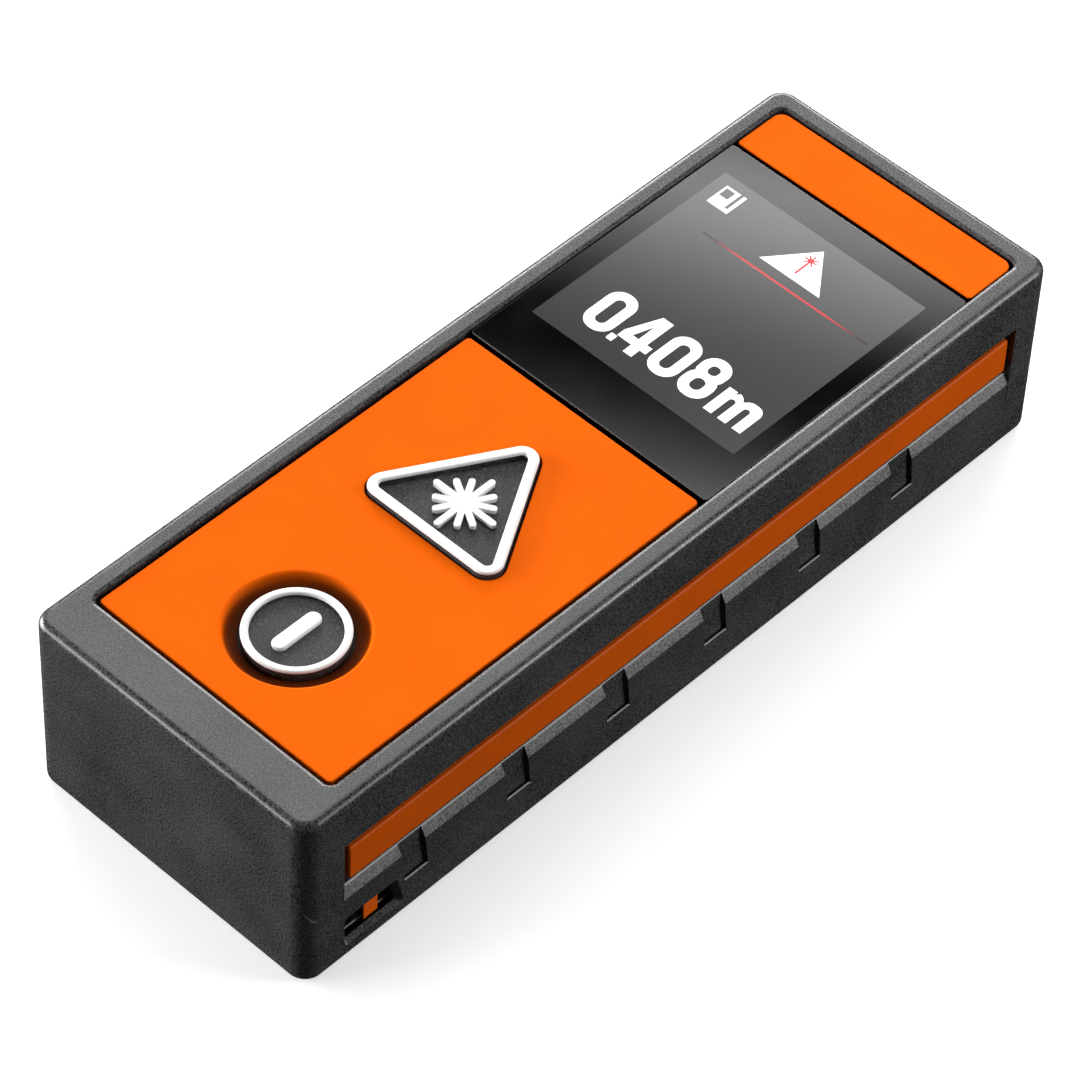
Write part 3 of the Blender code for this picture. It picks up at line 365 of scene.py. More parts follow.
def chamfer_painted_light_mask(n):
    """One on the chamfers below the two side windows, which are painted paler to stand in for the
    light they catch.
    """
    lean = (LEDGE_DEPTH - SLOPE_TOP[0]) / (WINDOW_Z[0] - SLOPE_TOP[1])
    level = HALF_WIDTH - SLOPE_TOP[0] + lean * SLOPE_TOP[1]
    plane = n.maths("ADD", n.reach("X"), n.times(n.axis("Z"), lean))
    near = n.span(n.maths("ABSOLUTE", n.minus(plane, level)), *mm(0.04, 0.07), 1.0, 0.0)
    return n.times(near, n.band("Z", offsets(SLOPE_TOP[1], -0.03, 0.03),
                                offsets(WINDOW_Z[0], 0.05, 0.10)))


def ledge_edge_painted_highlight_mask(n):
    """One along the edge at the top of each of those chamfers, where a highlight is painted."""
    edge = HALF_WIDTH - LEDGE_DEPTH
    inside = n.span(n.reach("X"), *offsets(edge, -0.16, -0.14), 0.0, 1.0)
    outside = n.span(n.reach("X"), *offsets(edge, 0.10, 0.12), 1.0, 0.0)
    within = n.span(n.reach("Y"), *offsets(WINDOW_Y[1], 0.2, 0.3), 1.0, 0.0)
    upright = n.band("Z", offsets(WINDOW_Z[0], -0.11, -0.09), offsets(WINDOW_Z[0], 0.05, 0.10))
    return n.times(n.times(inside, outside), n.times(within, upright))


def notch_foot_painted_light_masks(n):
    """One on the lip of each grip notch, for a painted highlight, and one on the tread behind it,
    for painted shade.
    """
    first = NOTCH_FIRST_Y - NOTCH_PITCH / 2
    last = first + NOTCH_COUNT * NOTCH_PITCH
    lean = n.times(n.minus(n.axis("Z"), NOTCH_FOOT_Z), NOTCH_LEAN)
    along = n.minus(n.maths("ADD", n.axis("Y"), lean), first)
    turn = n.maths("FRACT", n.maths("DIVIDE", along, NOTCH_PITCH))
    half = NOTCH_WIDTH / 2 / NOTCH_PITCH
    inside = n.span(n.maths("ABSOLUTE", n.minus(turn, 0.5)), half - 0.002, half + 0.002, 1.0, 0.0)
    row = n.band("Y", offsets(first, 0, 0.1), offsets(last, -0.1, 0))
    level = n.band("Z", offsets(NOTCH_FOOT_Z, -0.10, -0.08), offsets(NOTCH_FOOT_Z, 0.02, 0.04))
    tread = n.times(n.times(row, level), inside)
    front = n.span(n.reach("X"), *offsets(HALF_WIDTH, -0.17, -0.15), 0.0, 1.0)
    return n.times(tread, front), n.times(tread, n.minus(1.0, front))


def charcoal_case():
    # The paler pair of greys is painted light on the side chamfers.
    return grained_plastic("charcoal_case", (0.002, 0.002, 0.0022), (0.084, 0.084, 0.086),
                           rough=0.31, chamfer_painted_light=((0.10, 0.10, 0.10), (0.36, 0.36, 0.36)))


def charcoal_cover():
    return grained_plastic("charcoal_cover", (0.006, 0.006, 0.0065), (0.080, 0.080, 0.082),
                           grain=0.26 * MM, depth=0.06 * MM, rough=0.45)


def button_face():
    return grained_plastic("button_face", (0.008, 0.008, 0.0085), (0.070, 0.070, 0.072),
                           grain=0.20 * MM, rough=0.60, sparkle=0.20, gloss=0.22)


def orange_moulding(name="orange_moulding", tint=(0.90, 0.132, 0.0022), gloss=0.01, painted_shade_levels=None):
    """Satin orange plastic with faint flow marks; below the given levels it gets painted shade,
    darker further down.
    """
    n = Nodes(name)
    flow = n.noise(7 * MM, 3.0, 0.55, 0.12)
    deep = tuple(channel * 0.93 for channel in tint)
    body = n.mix(n.span(flow, 0.35, 0.65, 0.0, 1.0), tint, deep)
    specks = n.span(n.noise(0.35 * MM, 2.0, 0.6), 0.70, 0.80, 0.0, 0.22)
    body = n.mix(specks, body, tuple(channel * 0.72 for channel in tint))
    if painted_shade_levels:
        # Painted shade: below the given levels the orange goes dark.
        body = n.mix(n.span(n.axis("Z"), *painted_shade_levels, 1.0, 0.0), body, (0.050, 0.011, 0.002))
    n.colour(body)
    skin = n.noise(0.20 * MM, 2.0, 0.55, 0.05)
    n.rough(skin, 0.36, 0.50)
    n.bump(skin, 0.010 * MM, 0.5)
    n.bump(n.noise(1.3 * MM, 2.0, 0.5, 0.4), 0.02 * MM, 0.35)
    n.set(Specular_IOR_Level=gloss)
    return n.material


def white_moulding():
    """White plastic of the rings and symbols, a little duller where fingers rub it."""
    n = Nodes("white_moulding")
    soil = n.span(n.noise(2.2 * MM, 3.0, 0.6, 0.2), 0.50, 0.78, 0.0, 1.0)
    n.colour(n.mix(soil, (0.82, 0.82, 0.81), (0.74, 0.735, 0.72)))
    skin = n.noise(0.16 * MM, 2.0, 0.5)
    n.rough(skin, 0.34, 0.48)
    n.bump(skin, 0.008 * MM, 0.4)
    n.set(Specular_IOR_Level=0.4)
    return n.material


def pale_glint_moulding():
    """Pale plastic of the inner rib; its paleness is a painted glint."""
    n = Nodes("pale_glint_moulding")
    cloud = n.noise(1.1 * MM, 3.0, 0.6)
    n.colour(n.ramp(cloud, (0.3, (0.42, 0.42, 0.41)), (0.7, (0.52, 0.52, 0.50))))
    n.rough(cloud, 0.34, 0.46)
    n.bump(cloud, 0.01 * MM, 0.3)
    return n.material


def black_moulding(name="black_moulding", rough=0.40):
    n = Nodes(name)
    fine = n.noise(0.22 * MM, 3.0, 0.6)
    n.colour(n.ramp(fine, (0.3, 0.006), (0.75, 0.018)))
    n.roughness(n.span(fine, 0.25, 0.75, rough - 0.07, rough + 0.10))
    n.bump(fine, 0.02 * MM, 0.5)
    return n.material


def window_glass():
    """Black-printed acrylic window: mirror smooth, with the faintest ripple and dust."""
    n = Nodes("window_glass")
    dust = n.span(n.noise(0.12 * MM, 1.0, 0.5, 0.9), 0.80, 0.86, 0.0, 1.0)
    n.colour(n.mix(dust, (0.0022, 0.0022, 0.0024), (0.03, 0.03, 0.03)))
    n.rough(n.noise(6 * MM, 2.0, 0.5), 0.02, 0.05)
    n.bump(n.noise(11 * MM, 1.0, 0.4), 0.02 * MM, 0.05)
    n.set(Specular_IOR_Level=0.55)
    return n.material


def screen_glow_painted_reflection():
    """The lit area of the display, dark grey at the near edge and lighter towards the far one: the
    glow is the screen's backlight, and its rise towards the far edge is a painted reflection.
    """
    n = Nodes("screen_glow_painted_reflection")
    along = n.span(n.axis("Y"), SCREEN_Y[0], SCREEN_Y[1], 0.0, 1.0)
    grid = n.add("ShaderNodeTexBrick")
    grid.offset = 0.0
    grid.inputs["Scale"].default_value = 1.0 / (0.36 * MM)
    grid.inputs["Mortar Size"].default_value = 0.05
    grid.inputs["Brick Width"].default_value = 0.5
    grid.inputs["Row Height"].default_value = 0.5
    n.link(n.place(), grid.inputs["Vector"])
    # Painted reflection: the glow rises from the near edge of the screen to the far one.
    level = n.ramp(along, (0.0, 0.048), (0.5, 0.080), (1.0, 0.134))
    cells = n.span(grid.outputs["Fac"], 0.0, 1.0, 1.0, 0.90)
    scale = n.add("ShaderNodeVectorMath", operation="SCALE")
    n.link(level, scale.inputs[0])
    n.link(cells, scale.inputs["Scale"])
    n.link(scale.outputs[0], n.shader.inputs["Emission Color"])
    n.set(Emission_Strength=1.0, Roughness=0.07, Specular_IOR_Level=0.55)
    n.colour(n.ramp(n.noise(3 * MM), (0.3, 0.003), (0.7, 0.005)))
    return n.material


def lit_print(name, colour, strength, rough=0.15):
    """A symbol on the display: evenly lit, its colour a little uneven as on a real panel."""
    n = Nodes(name)
    uneven = n.noise(0.9 * MM, 2.0, 0.5)
    shade = n.mix(n.span(uneven, 0.3, 0.7, 0.0, 1.0), colour,
                  tuple(channel * 0.93 for channel in colour))
    n.link(shade, n.shader.inputs["Emission Color"])
    n.colour(n.mix(0.5, shade, (0.02, 0.02, 0.02)))
    n.set(Emission_Strength=strength, Roughness=rough)
    return n.material


def laser_line():
    """The red line across the display, fading at both ends."""
    n = Nodes("laser_line")
    across = n.maths("ABSOLUTE", n.minus(n.axis("X"), 1.75 * MM))
    fade = n.span(across, *mm(10.5, 4.5), 0.0, 1.0, True)
    n.link(n.mix(fade, (0.045, 0.040, 0.040), (0.60, 0.045, 0.05)),
           n.shader.inputs["Emission Color"])
    n.colour(n.mix(fade, (0.01, 0.01, 0.01), (0.2, 0.01, 0.01)))
    n.set(Emission_Strength=1.0, Roughness=0.1)
    return n.material


def lens_glass(name="lens_glass", tint=(0.10, 0.16, 0.22)):
    """Coated optical glass: dark, with a coloured sheen from its coating."""
    n = Nodes(name)
    sheen = n.add("ShaderNodeLayerWeight")
    sheen.inputs["Blend"].default_value = 0.35
    n.colour(n.mix(sheen.outputs["Facing"], tuple(c * 0.25 for c in tint), tint))
    n.rough(n.noise(2 * MM), 0.02, 0.05)
    n.bump(n.noise(5 * MM, 1.0), 0.004 * MM, 0.1)
    n.set(Specular_IOR_Level=0.9, Coat_Weight=0.6, Coat_Roughness=0.02)
    return n.material


def metal(name, colour, rough=0.32, scale=0.25 * MM):
    """Plated or turned metal with fine scratches and slight tarnish."""
    n = Nodes(name)
    tarnish = n.noise(1.6 * MM, 4.0, 0.6)
    dull = tuple(channel * 0.72 for channel in colour)
    n.colour(n.mix(n.span(tarnish, 0.4, 0.75, 0.0, 1.0), colour, dull))
    fine = n.noise(scale, 4.0, 0.7)
    n.rough(fine, rough - 0.08, rough + 0.12)
    n.bump(fine, 0.006 * MM, 0.4)
    n.set(Metallic=1.0)
    return n.material


def rubber():
    n = Nodes("silicone_rubber")
    skin = n.noise(0.3 * MM, 3.0, 0.6)
    n.colour(n.ramp(skin, (0.3, 0.014), (0.7, 0.026)))
    n.rough(skin, 0.62, 0.78)
    n.bump(skin, 0.02 * MM, 0.5)
    return n.material


def circuit_board():
    """Green solder mask over copper tracks."""
    n = Nodes("circuit_board")
    tracks = n.cells(2.4 * MM, "DISTANCE_TO_EDGE", 0.7)
    copper = n.span(tracks.outputs["Distance"], 0.05, 0.09, 1.0, 0.0)
    n.colour(n.mix(copper, (0.008, 0.09, 0.035), (0.03, 0.19, 0.07)))
    n.rough(n.noise(0.5 * MM), 0.30, 0.42)
    n.bump(copper, 0.03 * MM, 0.5)
    return n.material


def flex_film():
    n = Nodes("flex_film")
    stripes = n.add("ShaderNodeTexWave", bands_direction="X")
    stripes.inputs["Scale"].default_value = 1.0 / (1.4 * MM)
    n.link(n.place(), stripes.inputs["Vector"])
    n.colour(n.ramp(stripes.outputs["Fac"], (0.35, (0.34, 0.13, 0.02)), (0.65, (0.50, 0.24, 0.05))))
    n.rough(n.noise(0.6 * MM), 0.28, 0.40)
    n.bump(stripes.outputs["Fac"], 0.01 * MM, 0.3)
    return n.material


def cell_sleeve():
    """Plain battery sleeve with a bare metal band at each end."""
    n = Nodes("cell_sleeve")
    print_noise = n.noise(4 * MM, 2.0, 0.5)
    n.colour(n.ramp(print_noise, (0.3, (0.020, 0.030, 0.060)), (0.7, (0.030, 0.042, 0.080))))
    n.rough(n.noise(0.8 * MM), 0.24, 0.34)
    n.bump(n.noise(1.5 * MM), 0.02 * MM, 0.2)
    n.set(Metallic=0.3, Coat_Weight=0.4)
    return n.material


def housing_two_tone():
    """Inner housing: black inside the case, orange where its strap bar shows in the side."""
    n = Nodes("inner_housing")
    fine = n.noise(0.25 * MM, 3.0, 0.6)
    dark = n.ramp(fine, (0.3, 0.006), (0.75, 0.016))
    bright = n.ramp(fine, (0.3, (0.80, 0.110, 0.002)), (0.7, (0.92, 0.140, 0.003)))
    outside = n.span(n.axis("X"), *mm(17.06, 17.10), 0.0, 1.0)
    n.colour(n.mix(outside, dark, bright))
    n.roughness(n.span(fine, 0.25, 0.75, 0.38, 0.52))
    n.bump(fine, 0.02 * MM, 0.4)
    n.set(Specular_IOR_Level=0.25)
    return n.material


# ---- mesh tools

def arc(centre, radius, start, sweep, steps):
    """Points along an arc, both its ends included."""
    angles = [start + sweep * step / steps for step in range(steps + 1)]
    return [(centre[0] + radius * cos(a), centre[1] + radius * sin(a)) for a in angles]


def rectangle(x, y):
    return [(x[0], y[0]), (x[1], y[0]), (x[1], y[1]), (x[0], y[1])]


def round_rectangle(x, y, radius, steps=8):
    """Anticlockwise outline of a rectangle with round corners."""
    (x0, x1), (y0, y1) = x, y
    corners = ((x1 - radius, y0 + radius), (x1 - radius, y1 - radius),
               (x0 + radius, y1 - radius), (x0 + radius, y0 + radius))
    outline = []
    for quarter, corner in enumerate(corners):
        outline += arc(corner, radius, (quarter - 1) * pi / 2, pi / 2, steps)
    return outline


def box_outline(low, high, radius, steps, grow=0.0, plane="xy"):
    """Round rectangle over a box seen square on, grown by a margin."""
    u, v = [(getattr(low, axis) - grow, getattr(high, axis) + grow) for axis in plane]
    return round_rectangle(u, v, radius, steps)


def round_triangle(grow=0.0, steps=12):
    """Outline of the measure button, grown outwards by a distance."""
    reach = TRIANGLE_SIDE / sqrt(3) - 2 * TRIANGLE_RADIUS
    outline = []
    for corner in range(3):
        towards = pi / 2 + corner * 2 * pi / 3
        centre = (MEASURE_AT[0] + reach * cos(towards), MEASURE_AT[1] + reach * sin(towards))
        outline += arc(centre, TRIANGLE_RADIUS + grow, towards - pi / 3, 2 * pi / 3, steps)
    return outline


def starburst(centre, hub, width, lengths, rays=STAR_RAYS, steps=8):
    """Outline of a hub with round-ended rays."""
    half = width / 2
    foot = hub * cos(asin(half / hub))
    outline = []
    for ray in range(rays):
        towards = ray * 2 * pi / rays
        tip = lengths[ray % len(lengths)] - half
        local = [(foot, -half), *arc((tip, 0), half, -pi / 2, pi, steps), (foot, half)]
        for along, across in local:
            outline.append((centre[0] + along * cos(towards) - across * sin(towards),
                            centre[1] + along * sin(towards) + across * cos(towards)))
    return outline


def new_object(name, mesh):
    made = bpy.data.objects.new(name, mesh)
    bpy.context.scene.collection.objects.link(made)
    return made


def object_from(name, body):
    """A new object made of a bmesh, which is freed."""
    mesh = bpy.data.meshes.new(name)
    body.to_mesh(mesh)
    body.free()
    return new_object(name, mesh)


def sheet(name, half_size):
    """A flat square on the origin."""
    body = bmesh.new()
    bmesh.ops.create_grid(body, x_segments=1, y_segments=1, size=half_size)
    return object_from(name, body)


def bake(piece):
    """Replace a piece's data by its evaluated mesh, modifiers applied."""
    bpy.context.view_layer.update()
    graph = bpy.context.evaluated_depsgraph_get()
    mesh = bpy.data.meshes.new_from_object(piece.evaluated_get(graph))
    if piece.type == "MESH":
        piece.modifiers.clear()
        piece.data = mesh
        return piece
    made = new_object(piece.name, mesh)
    made.matrix_world = piece.matrix_world
    bpy.data.objects.remove(piece)
    return made


def edit(piece, work):
    """Run a function on a piece's bmesh."""
    body = bmesh.new()
    body.from_mesh(piece.data)
    work(body)
    body.to_mesh(piece.data)
    body.free()
    return piece


def weld(body, distance):
    """Merge the points that coincide and the faces that lie flush."""
    bmesh.ops.remove_doubles(body, verts=body.verts, dist=distance)
    bmesh.ops.dissolve_limit(body, angle_limit=FLUSH_ANGLE, verts=body.verts, edges=body.edges)


def plate(name, outlines, low, high, facing="Z"):
    """Outlines with holes, made thick from low to high along the facing axis."""
    curve = bpy.data.curves.new(name, "CURVE")
    curve.dimensions = "2D"
    curve.fill_mode = "BOTH"
    curve.extrude = (high - low) / 2
    for outline in outlines:
        spline = curve.splines.new("POLY")
        spline.points.add(len(outline) - 1)
        for point, (u, v) in zip(spline.points, outline):
            point.co = (u, v, 0, 1)
        spline.use_cyclic_u = True
    piece = bake(new_object(name, curve))
    middle = (low + high) / 2
    turns = {
        "Z": Matrix.Translation((0, 0, middle)),
        "Y": Matrix.Translation((0, middle, 0)) @ Matrix.Rotation(pi / 2, 4, "X"),
        "X": Matrix(((0, 0, 1, middle), (1, 0, 0, 0), (0, 1, 0, 0), (0, 0, 0, 1))),
    }

    def work(body):
        weld(body, TOUCHING)
        bmesh.ops.transform(body, matrix=turns[facing], verts=body.verts)
        bmesh.ops.recalc_face_normals(body, faces=body.faces)

    return edit(piece, work)


def turned(name, profile, centre, along="Z", steps=96, closed=False):
    """A profile of (radius, height) pairs turned about an axis through centre."""
    body = bmesh.new()
    points = [body.verts.new((radius, 0, height)) for radius, height in profile]
    pairs = list(zip(points, points[1:]))
    if closed:
        pairs.append((points[-1], points[0]))
    for start, end in pairs:
        body.edges.new((start, end))
    bmesh.ops.spin(body, geom=body.verts[:] + body.edges[:], cent=(0, 0, 0), axis=(0, 0, 1),
                   angle=2 * pi, steps=steps, use_merge=True)
    bmesh.ops.remove_doubles(body, verts=body.verts, dist=TOUCHING)
    turn = Matrix.Rotation(-pi / 2, 4, "X") if along == "Y" else Matrix.Identity(4)
    bmesh.ops.transform(body, matrix=Matrix.Translation(centre) @ turn, verts=body.verts)
    bmesh.ops.recalc_face_normals(body, faces=body.faces)
    return object_from(name, body)


def rounded_profile(points, radius, steps=4):
    """Round every corner of an open profile of (radius, height) pairs that is off the axis."""
    made = [points[0]]
    for before, here, after in zip(points, points[1:], points[2:]):
        corner = Vector(here)
        to_before = Vector(before) - corner
        to_after = Vector(after) - corner
        reach = min(radius, to_before.length * 0.45, to_after.length * 0.45)
        start = corner + to_before.normalized() * reach
        end = corner + to_after.normalized() * reach
        for step in range(steps + 1):
            t = step / steps
            point = start * (1 - t) ** 2 + corner * 2 * t * (1 - t) + end * t ** 2
            made.append(tuple(point))
    made.append(points[-1])
    return made


def boolean(piece, operation, *tools):
    for tool in tools:
        modifier = piece.modifiers.new("cut", "BOOLEAN")
        modifier.operation = operation
        modifier.solver = "EXACT"
        modifier.object = tool
    bake(piece)
    for tool in tools:
        bpy.data.objects.remove(tool)
    return edit(piece, lambda body: weld(body, 2 * TOUCHING))


def lies_at(level, axis=2):
    """A test for the edges that lie at one level of an axis."""
    return lambda edge: all(abs(vert.co[axis] - level) < LEVEL_SLACK for vert in edge.verts)


def round_edges(piece, width, segments=2, chosen=None, above=32):
    """Bevel the sharp edges, or only those that chosen(edge) accepts."""
    def work(body):
        edges = [e for e in body.edges if e.is_manifold and
                 e.calc_face_angle(0) > radians(above) and (chosen is None or chosen(e))]
        bmesh.ops.bevel(body, geom=edges, offset=width, offset_type="OFFSET",
                        segments=segments, profile=0.5, affect="EDGES", clamp_overlap=True)
        bmesh.ops.remove_doubles(body, verts=body.verts, dist=TOUCHING)

    return edit(piece, work)


def finish(piece, material, body, *nodes, slot=None, sharp=40):
    """Shade, paint and mount a piece on its CAD body, in the place of CAD nodes."""
    mesh = piece.data
    mesh.materials.clear()
    mesh.materials.append(material)
    mesh.shade_smooth()
    mesh.set_sharp_from_angle(angle=radians(sharp))
    weighted = piece.modifiers.new("even_normals", "WEIGHTED_NORMAL")
    weighted.keep_sharp = True
    weighted.weight = 80
    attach(piece, body)
    if nodes:
        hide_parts(*nodes)


# ---- case

def window_cutter(side):
    outer = HALF_WIDTH + 1 * MM
    deep = HALF_WIDTH - WINDOW_DEPTH
    section = [
        (outer, WINDOW_Z[1]), (deep, WINDOW_Z[1]), (deep, WINDOW_Z[0]),
        (HALF_WIDTH - LEDGE_DEPTH, WINDOW_Z[0]), (HALF_WIDTH - SLOPE_TOP[0], SLOPE_TOP[1]),
        (HALF_WIDTH + 0.02 * MM, SLOPE_FOOT_Z), (outer, SLOPE_FOOT_Z),
    ]
    return plate("window", [[(side * u, v) for u, v in section]], *WINDOW_Y, "Y")


def notch_cutter(side, index):
    """One grip notch: its floor leans inwards, and its two ends lean towards the near end."""
    outer = HALF_WIDTH + 1 * MM
    head = WINDOW_Z[0] + 0.4 * MM
    section = [(HALF_WIDTH - NOTCH_DEPTHS[0], NOTCH_FOOT_Z), (outer, NOTCH_FOOT_Z),
               (outer, head), (HALF_WIDTH - NOTCH_DEPTHS[1], head)]
    middle = NOTCH_FIRST_Y + index * NOTCH_PITCH
    cutter = plate("notch", [[(side * u, v) for u, v in section]],
                   middle - NOTCH_WIDTH / 2, middle + NOTCH_WIDTH / 2, "Y")
    lean = Matrix.Identity(4)
    lean[1][2] = -NOTCH_LEAN
    lean[1][3] = NOTCH_LEAN * NOTCH_FOOT_Z
    cutter.data.transform(lean)
    return cutter


def loft(name, *rings):
    """A solid skinned over rings of points that all have the same count, ends capped."""
    body = bmesh.new()
    loops = [[body.verts.new(point) for point in ring] for ring in rings]
    for first, second in zip(loops, loops[1:]):
        for i in range(len(first)):
            j = (i + 1) % len(first)
            body.faces.new((first[i], first[j], second[j], second[i]))
    body.faces.new(loops[0])
    body.faces.new(loops[-1])
    bmesh.ops.recalc_face_normals(body, faces=body.faces)
    return object_from(name, body)


def lanyard_ring(outline, depth):
    """A round-cornered ring of points in the plane that lies depth below the side wall."""
    ring = []
    corners = [Vector(point) * MM for point in outline]
    for i, corner in enumerate(corners):
        before = (corners[i - 1] - corner).normalized() * LANYARD_ROUND
        after = (corners[(i + 1) % len(corners)] - corner).normalized() * LANYARD_ROUND
        for step in range(LANYARD_STEPS + 1):
            t = step / LANYARD_STEPS
            point = corner + before * (1 - t) ** 2 + after * t ** 2
            ring.append((HALF_WIDTH - depth, point.x, point.y))
    return ring


def lanyard_cutter():
    """The strap opening: its floor and its far end slope in to a waist, with a pocket behind."""
    waist = lanyard_ring(LANYARD_WAIST, LANYARD_WAIST_DEPTH)
    lip = lanyard_ring(LANYARD_LIP, 0.0)
    flare = [tuple(Vector(a) + (Vector(a) - Vector(b))) for a, b in zip(lip, waist)]
    pocket = lanyard_ring(LANYARD_POCKET, LANYARD_WAIST_DEPTH + 0.25 * MM)
    inner = [(HOLLOW_X - 1 * MM, y, z) for _, y, z in pocket]
    return loft("lanyard", flare, lip, waist, pocket, inner)


def make_lanyard_rib():
    """The pale edge that shows low down behind the strap bar, lit by the lamps; its paleness is a
    painted glint.
    """
    front = HALF_WIDTH - LANYARD_RIB_DEPTH
    outline = round_rectangle((front - 0.1 * MM, front), LANYARD_RIB_Y, 0.04 * MM, 2)
    rib = plate("lanyard_rib", [outline], LANYARD_RIB_Z - 0.12 * MM, LANYARD_RIB_Z)
    # Painted glint: the rib is made pale so that its edge shows bright behind the strap bar.
    finish(rib, pale_glint_moulding(), "root", slot="inner_plastic")


def mouth_flare_cutter():
    """Opens the mouth outwards a little towards the top."""
    wide, deep = MOUTH_FLARE
    rings = []
    for grow, z in ((0.0, TOP_Z - deep), (2 * wide, TOP_Z + deep)):
        outline = round_rectangle((-MOUTH_X - grow, MOUTH_X + grow),
                                  (MOUTH_Y[0] - grow, MOUTH_Y[1] + grow), MOUTH_RADIUS + grow, 8)
        rings.append([(x, y, z) for x, y in outline])
    return loft("mouth_flare", *rings)


def make_case():
    outline = round_rectangle((-HALF_WIDTH, HALF_WIDTH), (-HALF_LENGTH, HALF_LENGTH),
                              CORNER_RADIUS, 14)
    case = plate("case_frame", [outline], CASE_LOW.z, TOP_Z)
    round_edges(case, EDGE_FILLET, 8, lies_at(TOP_Z), 60)
    round_edges(case, FOOT_FILLET, 8, lies_at(CASE_LOW.z), 60)
    hollow = round_rectangle((-HOLLOW_X, HOLLOW_X), (-INNER_Y, INNER_Y), 1 * MM, 6)
    mouth = round_rectangle((-MOUTH_X, MOUTH_X), MOUTH_Y, MOUTH_RADIUS, 8)
    optics = box_outline(BEZEL_LOW, BEZEL_HIGH, 2.3 * MM, 8, 0.3 * MM, "xz")
    boolean(case, "DIFFERENCE",
            plate("hollow", [hollow], -1 * MM, SHELF_Z),
            plate("mouth", [mouth], SHELF_Z - 1 * MM, TOP_Z + 1 * MM),
            plate("optics", [optics], INNER_Y - 1 * MM, HALF_LENGTH + 1 * MM, "Y"),
            window_cutter(1), window_cutter(-1))
    for side in (1, -1):
        boolean(case, "DIFFERENCE", *[notch_cutter(side, i) for i in range(NOTCH_COUNT)])
    boolean(case, "DIFFERENCE", lanyard_cutter())
    boolean(case, "DIFFERENCE", mouth_flare_cutter())
    round_edges(case, CRISP, 2, above=20)
    finish(case, charcoal_case(), "root", "outer_frame", slot="case")


def make_side_strips():
    paint = orange_moulding("orange_strip", (0.70, 0.105, 0.0018), gloss=0.07)
    for side, node in ((1, "side_strip_right"), (-1, "side_strip_left")):
        low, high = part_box(node)
        outline = box_outline(low, high, 0.3 * MM, 4, plane="yz")
        strip = plate(node + "_moulding", [outline], low.x, high.x, "X")
        round_edges(strip, 0.16 * MM, 1, lies_at(high.x if side > 0 else low.x, 0), 25)
        finish(strip, paint, "root", node, slot="accent")


# ---- keypad

def make_keypad_panel():
    foot = PANEL_LOW.z
    outline = round_rectangle((PANEL_LOW.x + PANEL_GAP, PANEL_HIGH.x - PANEL_GAP),
                              (PANEL_LOW.y + PANEL_GAP, PANEL_HIGH.y), 0.45 * MM, 6)
    panel = plate("keypad_panel_moulding", [outline], foot, FACE_Z)
    wall = 1 * MM
    inside = rectangle((PANEL_LOW.x + wall, PANEL_HIGH.x - wall),
                       (PANEL_LOW.y + wall, PANEL_HIGH.y - wall))
    bore = POWER_RADIUS + KEY_GAP
    well = [(0, FACE_Z + 1 * MM)]
    well += [(DISH_RADIUS + out * MM, FACE_Z + up * MM) for out, up in DISH_PROFILE]
    well += [(bore, FACE_Z - 1.05 * MM), (bore, FACE_Z - 2.2 * MM), (0, FACE_Z - 2.2 * MM)]
    boolean(panel, "DIFFERENCE",
            plate("inside", [inside], foot - 1 * MM, FACE_Z - 1.2 * MM),
            plate("triangle", [round_triangle(KEY_GAP)], foot - 1 * MM, FACE_Z + 1 * MM),
            turned("well", well, (*POWER_AT, 0)))
    on_face = lies_at(FACE_Z)

    def rim(edge):
        return on_face(edge) and all(abs(v.co.x) > 14 * MM or v.co.y < -44 * MM or
                                     v.co.y > 2 * MM for v in edge.verts)

    round_edges(panel, 0.12 * MM, 3, rim, 25)
    round_edges(panel, 0.10 * MM, 2, on_face, 25)
    # Painted shade in the power button's well and down the panel's side walls and openings.
    paint = orange_moulding(painted_shade_levels=offsets(FACE_Z, -1.05, -0.08))
    finish(panel, paint, "root", "keypad_panel", slot="accent", sharp=50)


def make_end_cap():
    near, far = mm(0.4, 1.2)
    corners = (((CAP_HIGH.x - near, CAP_LOW.y + near), near),
               ((CAP_HIGH.x - far, CAP_HIGH.y - far), far),
               ((CAP_LOW.x + far, CAP_HIGH.y - far), far),
               ((CAP_LOW.x + near, CAP_LOW.y + near), near))
    outline = []
    for quarter, (centre, radius) in enumerate(corners):
        outline += arc(centre, radius, (quarter - 1) * pi / 2, pi / 2, 8)
    cap = plate("end_cap_moulding", [outline], CAP_LOW.z, FACE_Z)
    round_edges(cap, 0.12 * MM, 3, lies_at(FACE_Z), 25)
    # Painted shade down the cap's side walls.
    paint = orange_moulding("orange_cap", painted_shade_levels=offsets(FACE_Z, -0.2, -0.1))
    finish(cap, paint, "root", "end_cap", slot="accent", sharp=50)


def make_mark(name, body, paint, outlines, low, high, fillet, segments=3):
    """A rim or symbol that stands up from a button, round along its top."""
    mark = plate(name + "_moulding", outlines, low, high)
    round_edges(mark, fillet, segments, lies_at(high), 25)
    finish(mark, paint, body, name, slot="marking", sharp=60)


